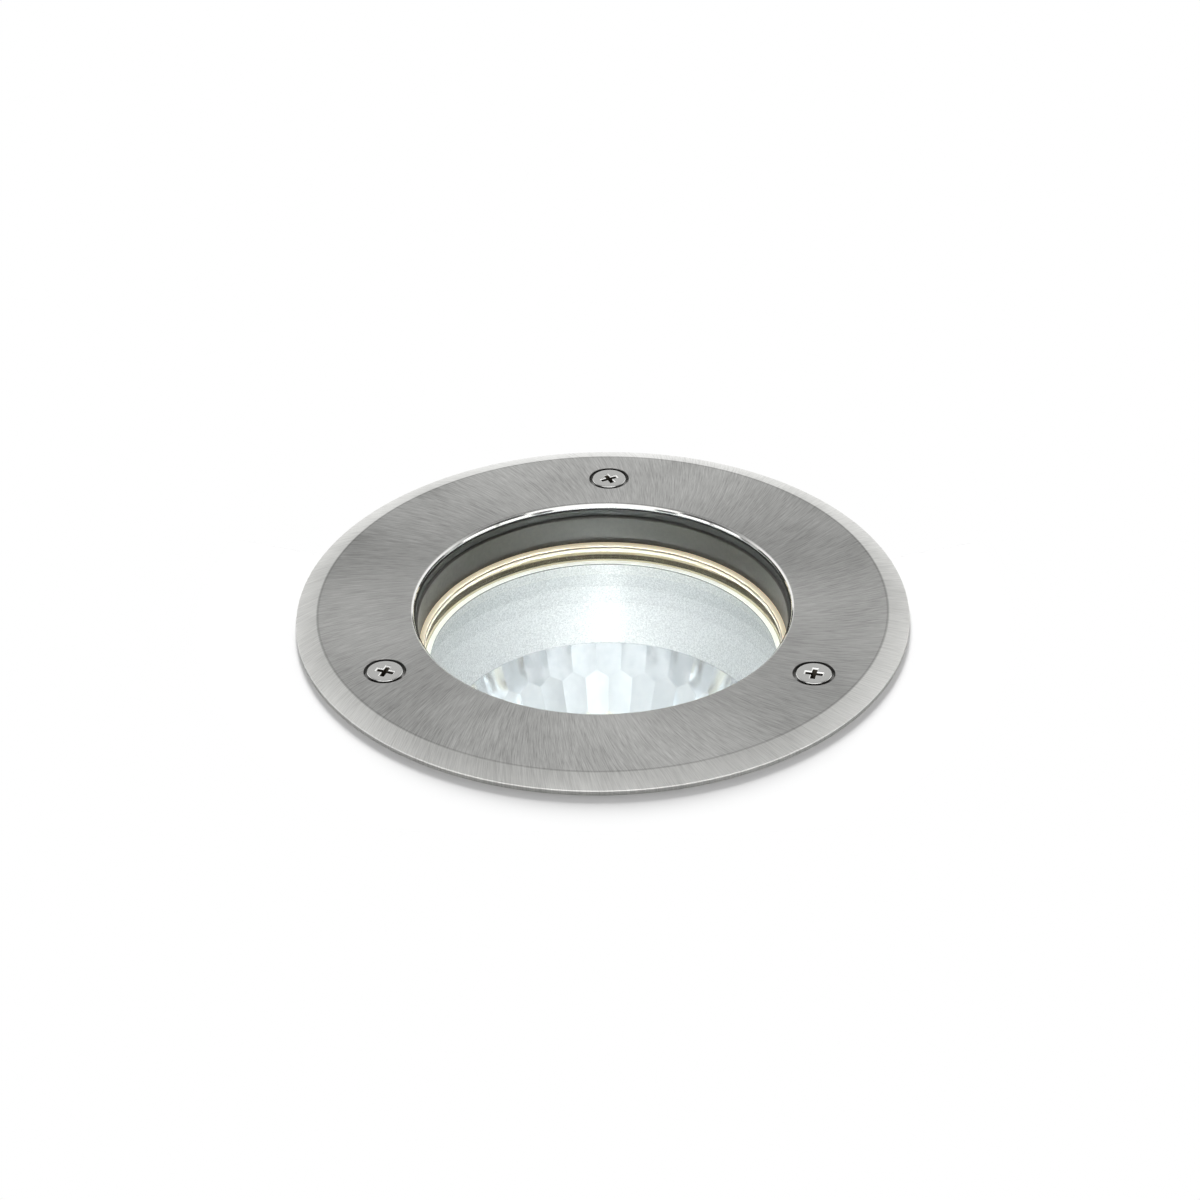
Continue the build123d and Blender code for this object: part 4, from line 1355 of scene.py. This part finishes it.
@dataclass
class FacetedReflector:
    """Bright bowl with staggered facets, from the neck round the light source to the sleeve.

    Attributes:
        facets: facets round the bowl.
        steps: mesh columns to a facet.
        rows: heights of the rows' boundaries as shares of the bowl's depth, from the rim down.
        radii_mm: radius of the ridges at each of these boundaries.
        pillow: how far a facet's middle stands out towards the axis, across the facet.
        hollow: how far a facet lies back half-way up.
        wall: thickness of the bowl.
        flange: thickness of the rim's flange.
        foot: width of the foot round the neck.
        foot_flare: how far the foot is wider at its top.
        outer_shares: shares of the depth at which the outside has mesh rings.
    """

    facets: int = 38
    steps: int = 6
    rows: tuple[float, ...] = (1.0, 0.815, 0.585, 0.38, 0.215, 0.1, 0.03, 0.0)
    radii_mm: tuple[float, ...] = (35.0, 32.55, 28.35, 23.6, 18.7, 13.9, 10.0, 8.0)
    pillow: float = 0.07 * MM
    hollow: float = 0.13 * MM
    wall: float = 1.5 * MM
    flange: float = 2.0 * MM
    foot: float = 4.0 * MM
    foot_flare: float = 0.8 * MM
    outer_shares: tuple[float, ...] = (0.8, 0.6, 0.4, 0.25, 0.12)

    def ridge_r(self, share: float) -> float:
        """Find the radius of the bowl's ridges, which are straight within a row.

        Args:
            share: height as a share of the bowl's depth.

        Returns:
            The radius in metres.
        """
        for upper, lower, wide, slim in zip(self.rows, self.rows[1:], self.radii_mm, self.radii_mm[1:]):
            if share >= lower:
                return (slim + (wide - slim) * (share - lower) / (upper - lower)) * MM
        return self.radii_mm[-1] * MM

    def slope(self, row: int, depth: float) -> float:
        """How far a row's ridges run outward for each metre up; rows count from the neck."""
        rise = depth * (self.rows[-2 - row] - self.rows[-1 - row])
        return (self.radii_mm[-2 - row] - self.radii_mm[-1 - row]) * MM / rise

    def flat(self, step: int) -> float:
        """Radius of a flat facet at one of its columns, as a share of its ridges' radius."""
        angle = (step % self.steps / self.steps - 0.5) * math.tau / self.facets
        return math.cos(math.pi / self.facets) / math.cos(angle)

    def meet(self, row: int, step: int, depth: float) -> float:
        """Find the height at which a row's facet meets the row below, so that both stay flat.

        Args:
            row: the row, counted from the neck.
            step: the column within that row's facet.
            depth: depth of the bowl.

        Returns:
            The height above the neck.
        """
        level = depth * self.rows[-1 - row]
        if row in (0, len(self.rows) - 1):
            return level
        here, below = self.flat(step), self.flat(step + self.steps // 2)
        turn = self.slope(row, depth) * here - self.slope(row - 1, depth) * below
        return level + self.radii_mm[-1 - row] * MM * (below - here) / turn

    def build(self) -> list[Object]:
        """Model the bowl from one ring that is extruded up inside, over the rim and down outside.

        Returns:
            The bowl in place.
        """
        low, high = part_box("reflector_bowl")
        base, top, flange_r = low[2], high[2], high[0]
        depth = top - base
        neck_r = self.radii_mm[-1] * MM
        inside = self.inner_rings()
        under_z, foot_r = top - self.flange, neck_r + self.foot
        course = [(self.ridge_r(share), base + depth * share) for share in inside]
        course += [(flange_r, top), (flange_r, under_z)]
        course.append((self.ridge_r(1.0 - self.flange / depth) + self.wall, under_z))
        course += [(self.ridge_r(share) + self.wall, base + depth * share) for share in self.outer_shares]
        course += [(foot_r + self.foot_flare, base + self.flange), (foot_r, base)]
        bench = Bench.ring("reflector_facets", self.facets * self.steps, *course[0])
        for here, there in zip(course, course[1:]):
            bench.ring_up(*here, *there)
        bench.pick(lambda vert: abs(vert.co.z - base) < 1e-6)
        bpy.ops.mesh.bridge_edge_loops()
        bpy.ops.mesh.select_all(action="DESELECT")
        bpy.ops.mesh.edges_select_sharp(sharpness=math.radians(35))
        bpy.ops.mesh.mark_sharp()
        self.carve(bench, inside, base, depth)
        bowl = bench.done(outward=True)
        bpy.ops.object.shade_smooth()
        return [bowl]

    def inner_rings(self) -> list[float]:
        """List the heights of the inside's mesh rings: each boundary and three rings between.

        Returns:
            Shares of the depth, from the neck up.
        """
        shares = [self.rows[-1]]
        for lower, upper in zip(self.rows[:0:-1], self.rows[-2::-1]):
            shares += [lower + (upper - lower) * part for part in (0.25, 0.5, 0.75, 1.0)]
        return shares

    def phase(self, row: int, column: int) -> int:
        """Columns from a facet's own ridge, which lies half a facet further in every other row."""
        return (column + (row % 2) * self.steps // 2) % self.steps

    def carve(self, bench: Bench, inside: list[float], base: float, depth: float) -> None:
        """Shape the facets, let them meet in a zigzag and keep the ridges sharp.

        Args:
            bench: the open bowl.
            inside: shares of the depth of the inner rings, from the neck up.
            base: height of the neck.
            depth: depth of the bowl.
        """
        columns = self.facets * self.steps
        rows = len(self.rows) - 1
        per_row = (len(inside) - 1) // rows
        mesh = bmesh.from_edit_mesh(bench.piece.data)
        mesh.verts.index_update()
        places: dict[int, tuple[int, int]] = {}
        groups: dict[tuple[int, int], set[int]] = {}
        for vert in mesh.verts:
            radius = math.hypot(vert.co.x, vert.co.y)
            column = round(math.atan2(vert.co.y, vert.co.x) / math.tau * columns) % columns
            for ring, share in enumerate(inside):
                level = abs(vert.co.z - base - depth * share) < 1e-6
                if level and abs(radius - self.ridge_r(share)) < 1e-6:
                    places[vert.index] = (ring, column)
                    step = self.phase(min(ring // per_row, rows - 1), column)
                    groups.setdefault((ring, step), set()).add(vert.index)

        for (ring, step), members in sorted(groups.items()):
            if ring == 0:
                continue
            share = inside[ring]
            row = min(ring // per_row, rows - 1)
            along = ring / per_row - row
            across = 1 - abs(2 * step / self.steps - 1)
            foot, head = self.meet(row, step, depth), self.meet(row + 1, step + self.steps // 2, depth)
            height = foot + (head - foot) * along
            rise = height - depth * self.rows[-1 - row]
            ridge_r = self.radii_mm[-1 - row] * MM + self.slope(row, depth) * rise
            bow = (1 - (1 - 2 * along) ** 2) * (self.hollow - self.pillow * (1 - (1 - across) ** 2))
            grow = (ridge_r * self.flat(step) + bow) / self.ridge_r(share)
            bench.pick(lambda vert: vert.index in members)
            bpy.ops.transform.translate(value=(0, 0, height - depth * share))
            bpy.ops.transform.resize(value=(grow, grow, 1), center_override=(0, 0, base + depth * share))

        def ridge(edge: BMEdge) -> bool:
            """Tell whether an edge parts two facets.

            Args:
                edge: an edge of the bowl.

            Returns:
                True for such an edge.
            """
            ends = [places.get(vert.index) for vert in edge.verts]
            if None in ends:
                return False
            (ring_a, column_a), (ring_b, _) = ends
            if ring_a == ring_b:
                return ring_a % per_row == 0
            return self.phase(min(ring_a, ring_b) // per_row, column_a) == 0

        bench.pick(ridge, edges=True)
        bpy.ops.mesh.mark_sharp()

    @staticmethod
    def dress(pieces: list[Object]) -> None:
        """Give the bowl its finish and its place in the assembly.

        Args:
            pieces: the bowl.
        """
        bowl = pieces[0]
        coat(bowl, MIRROR)
        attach(bowl, "pot")
        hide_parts("reflector_bowl")


@dataclass(frozen=True)
class SoftLamp:
    """Square soft lamp that faces the ground light.

    Attributes:
        name: the lamp's name.
        place: its middle, in metres.
        size: its side, in metres.
        watts: its power.
        matt: False for a lamp that shows in polished edges but doesn't light matt surfaces.
    """

    name: str
    place: tuple[float, float, float]
    size: float
    watts: float
    matt: bool = False

    def hang(self) -> None:
        """Add the lamp to the scene."""
        data = bpy.data.lights.new(self.name, "AREA")
        data.shape = "SQUARE"
        data.size = self.size
        data.energy = self.watts
        lamp = bpy.data.objects.new(self.name, data)
        lamp.location = self.place
        lamp.rotation_euler = (-Vector(self.place)).to_track_quat("-Z", "Y").to_euler()
        lamp.visible_diffuse = self.matt
        lamp.visible_camera = False
        bpy.context.scene.collection.objects.link(lamp)


# The low lamps at the sides stay below what the reflector's facets can see.
LAMPS = (
    SoftLamp("top_lamp", (0.1, -0.3, 1.2), 0.6, 1.2, matt=True),
    SoftLamp("edge_lamp", (0.0, -0.62, 0.72), 1.25, 6.4),
    SoftLamp("left_lamp", (-0.85, -0.62, 0.36), 0.4, 0.75),
    SoftLamp("right_lamp", (0.85, -0.62, 0.36), 0.4, 0.75),
    SoftLamp("far_left_lamp", (-1.0, -0.2, 0.3), 0.45, 0.95),
    SoftLamp("far_right_lamp", (1.0, -0.2, 0.3), 0.45, 0.95),
    SoftLamp("bevel_lamp", (0.0, 0.34, 0.94), 0.4, 0.35),
)


@dataclass
class Studio:
    """Pale ground with a cut-out for the pot, white surroundings, soft lamps, low sunlight and the camera.

    Attributes:
        cut_r: radius of the cut-out, hidden under the cover ring.
        shade_r: radius up to which the ground takes the light's shadow.
        ground_r: radius of the ground.
        back_y: how far the ground reaches back.
        card_size: width and height of the white card as shares of the picture.
        card_top: height of the card's top edge as a share of the picture, from its middle.
        card_gap: distance of the card from the camera.
        front: brightness of the surroundings behind the camera.
        back: brightness of the surroundings behind the light.
        ceiling: share of that brightness overhead.
        sun_watts: strength of the low sunlight, for each square metre.
        sun_degrees: its width, which softens the shadow.
        sun_way: the way it shines.
        sensor_mm: width of the camera's sensor.
        lens_mm: focal length.
        shift: shift of the picture as shares of its width.
        eye_mm: the camera's place.
        aim_mm: the point it looks at.
        roll: its turn round its own axis, in radians.
    """

    cut_r: float = 62.0 * MM
    shade_r: float = 88.0 * MM
    ground_r: float = 104.0 * MM
    back_y: float = 30.0 * MM
    card_size: tuple[float, float] = (0.8, 0.45)
    card_top: float = -0.19
    card_gap: float = 0.1
    front: float = 0.15
    back: float = 1.1
    ceiling: float = 0.42
    sun_watts: float = 6.6
    sun_degrees: float = 14.0
    sun_way: tuple[float, float, float] = (0.06, -1, -0.287)
    sensor_mm: float = 36.0
    lens_mm: float = 108.2
    shift: tuple[float, float] = (-0.0021, 0.0031)
    eye_mm: tuple[float, float, float] = (23.8, -638.2, 423.3)
    aim_mm: tuple[float, float, float] = (0, 0, 2.5)
    roll: float = -0.0159

    def ground(self) -> None:
        """Lay the ground and mark it as stage."""
        bench = Bench.ring("ground", 128, self.cut_r, 0.0)
        bench.ring_up(self.cut_r, 0.0, self.shade_r, 0.0)
        bench.ring_up(self.shade_r, 0.0, self.ground_r, 0.0)
        bench.pick(lambda vert: vert.co.y > self.back_y)
        bpy.ops.mesh.delete(type="VERT")
        floor = bench.done(outward=True)
        floor.data.materials.append(new_material("ground_white", self.ground_surface))

    def ground_surface(self, tree: NodeTree) -> NodeSocket:
        """Make a pale matt ground that keeps the shadow near the light and is plain white further out.

        Args:
            tree: the material's tree.

        Returns:
            The shader's output.
        """
        place = add_node(tree, "ShaderNodeTexCoord", out="Object")
        radius = add_node(tree, "ShaderNodeVectorMath", {0: place}, "Value", operation="LENGTH")
        ends = {"Value": radius, "From Min": self.shade_r * 0.9, "From Max": self.shade_r}
        far = add_node(tree, "ShaderNodeMapRange", ends, interpolation_type="SMOOTHSTEP")
        seen = add_node(tree, "ShaderNodeLightPath", out="Is Camera Ray")
        white = add_node(tree, "ShaderNodeMath", {0: far, 1: seen}, operation="MULTIPLY")
        matt = add_node(tree, "ShaderNodeBsdfDiffuse", {"Color": linear("fafafa")})
        plain = add_node(tree, "ShaderNodeEmission", {"Color": linear("ffffff"), "Strength": 1.0})
        return add_node(tree, "ShaderNodeMixShader", {0: white, 1: matt, 2: plain})

    def card(self) -> None:
        """Hold a small white card close to the camera, so that the pot doesn't show below the ground."""
        Bench.clear()
        bpy.ops.mesh.primitive_plane_add(size=1, location=(0, 0, 0))
        card = bpy.context.object
        card.name = card.data.name = "white_card"
        bench = Bench(card)
        width, height = self.card_size
        bpy.ops.transform.resize(value=(width, height, 1))
        # The card's top edge lies where the camera sees the ground's white front part.
        bpy.ops.transform.translate(value=(0, self.card_top - height / 2, 0))
        bench.done()
        near = Matrix.Translation((0, 0, -self.card_gap))
        frame_size = Matrix.Scale(self.card_gap * self.sensor_mm / self.lens_mm, 4)
        card.matrix_world = bpy.context.scene.camera.matrix_world @ near @ frame_size
        card.select_set(True)
        bpy.ops.object.transform_apply(location=True, rotation=True, scale=True)
        card.data.materials.append(new_material("card_white", self.card_surface))

    @staticmethod
    def card_surface(tree: NodeTree) -> NodeSocket:
        """Make the card plain white to the camera and clear to all other rays.

        Args:
            tree: the material's tree.

        Returns:
            The shader's output.
        """
        seen = add_node(tree, "ShaderNodeLightPath", out="Is Camera Ray")
        plain = add_node(tree, "ShaderNodeEmission", {"Color": linear("ffffff"), "Strength": 1.0})
        clear = add_node(tree, "ShaderNodeBsdfTransparent")
        return add_node(tree, "ShaderNodeMixShader", {0: seen, 1: clear, 2: plain})

    def surroundings(self) -> None:
        """Set pale surroundings, dimmer overhead and behind the camera, plain white where the camera sees them."""
        world = bpy.data.worlds.new("studio")
        bpy.context.scene.world = world
        world.use_nodes = True
        tree = world.node_tree
        tree.nodes.clear()
        way = add_node(tree, "ShaderNodeTexCoord", out="Generated")
        ways = add_node(tree, "ShaderNodeSeparateXYZ", {0: way}).node.outputs
        levels = {"From Min": -0.15, "From Max": 0.4, "To Min": self.front, "To Max": self.back}
        depth = {"Value": ways["Y"], **levels}
        back = add_node(tree, "ShaderNodeMapRange", depth, interpolation_type="SMOOTHSTEP")
        levels = {"From Min": 0.57, "From Max": 0.87, "To Min": 1.0, "To Max": self.ceiling}
        rise = {"Value": ways["Z"], **levels}
        height = add_node(tree, "ShaderNodeMapRange", rise, interpolation_type="SMOOTHSTEP")
        room = add_node(tree, "ShaderNodeMath", {0: back, 1: height}, operation="MULTIPLY")
        path = add_node(tree, "ShaderNodeLightPath").node.outputs
        rays = {0: path["Is Camera Ray"], 1: path["Is Transmission Ray"]}
        seen = add_node(tree, "ShaderNodeMath", rays, operation="MAXIMUM")
        level = add_node(tree, "ShaderNodeMix", {0: seen, 2: room, 3: 1.0}, data_type="FLOAT")
        glow = add_node(tree, "ShaderNodeBackground", {"Color": linear("ffffff"), "Strength": level})
        add_node(tree, "ShaderNodeOutputWorld", {"Surface": glow})

    def low_sun(self) -> None:
        """Shine soft low light from behind, which draws the shadow in front of the ring but no glare on it."""
        data = bpy.data.lights.new("low_light", "SUN")
        data.energy = self.sun_watts
        data.angle = math.radians(self.sun_degrees)
        sun = bpy.data.objects.new("low_light", data)
        sun.rotation_euler = Vector(self.sun_way).to_track_quat("-Z", "Y").to_euler()
        sun.visible_glossy = False
        bpy.context.scene.collection.objects.link(sun)

    def camera(self) -> None:
        """Set the camera at the viewing angle of the picture: a long lens, a third of the way up."""
        data = bpy.data.cameras.new("camera")
        data.sensor_width = self.sensor_mm
        data.lens = self.lens_mm
        data.shift_x, data.shift_y = self.shift
        data.clip_start = self.card_gap / 2
        camera = bpy.data.objects.new("camera", data)
        eye, aim = [Vector([side * MM for side in point]) for point in (self.eye_mm, self.aim_mm)]
        look = (aim - eye).to_track_quat("-Z", "Y").to_matrix()
        turned = look @ Matrix.Rotation(self.roll, 3, "Z")
        camera.matrix_world = Matrix.Translation(eye) @ turned.to_4x4()
        bpy.context.scene.collection.objects.link(camera)
        bpy.context.scene.camera = camera

    def build(self) -> None:
        """Set up ground, surroundings, lamps and camera."""
        self.ground()
        self.surroundings()
        self.low_sun()
        for lamp in LAMPS:
            lamp.hang()
        self.camera()
        self.card()
        bpy.context.scene.view_settings.view_transform = "Standard"


def dress_nodes(finishes: dict[str, Finish]) -> None:
    """Give every CAD node its finish.

    Args:
        finishes: finish of each node by name.
    """
    for name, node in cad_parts.items():
        material = finishes[name].material()
        for place in node.material_slots:
            place.material = material
        log.info("%s: %s", name, material.name)


def main() -> None:
    """Dress the frame, add the finer pieces and set up the studio."""
    logging.basicConfig(level=logging.INFO, format="%(name)s: %(message)s")
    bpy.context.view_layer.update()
    dress_nodes(NODE_FINISHES)
    for assembly in (CoverRing(), CoverScrews(), LensGasket(), GlareSleeve(), FacetedReflector()):
        pieces = assembly.build()
        assembly.dress(pieces)
        for piece in pieces:
            log.info("%s: %d faces", piece.name, len(piece.data.polygons))
    Studio().build()


if __name__ == "__main__":
    main()
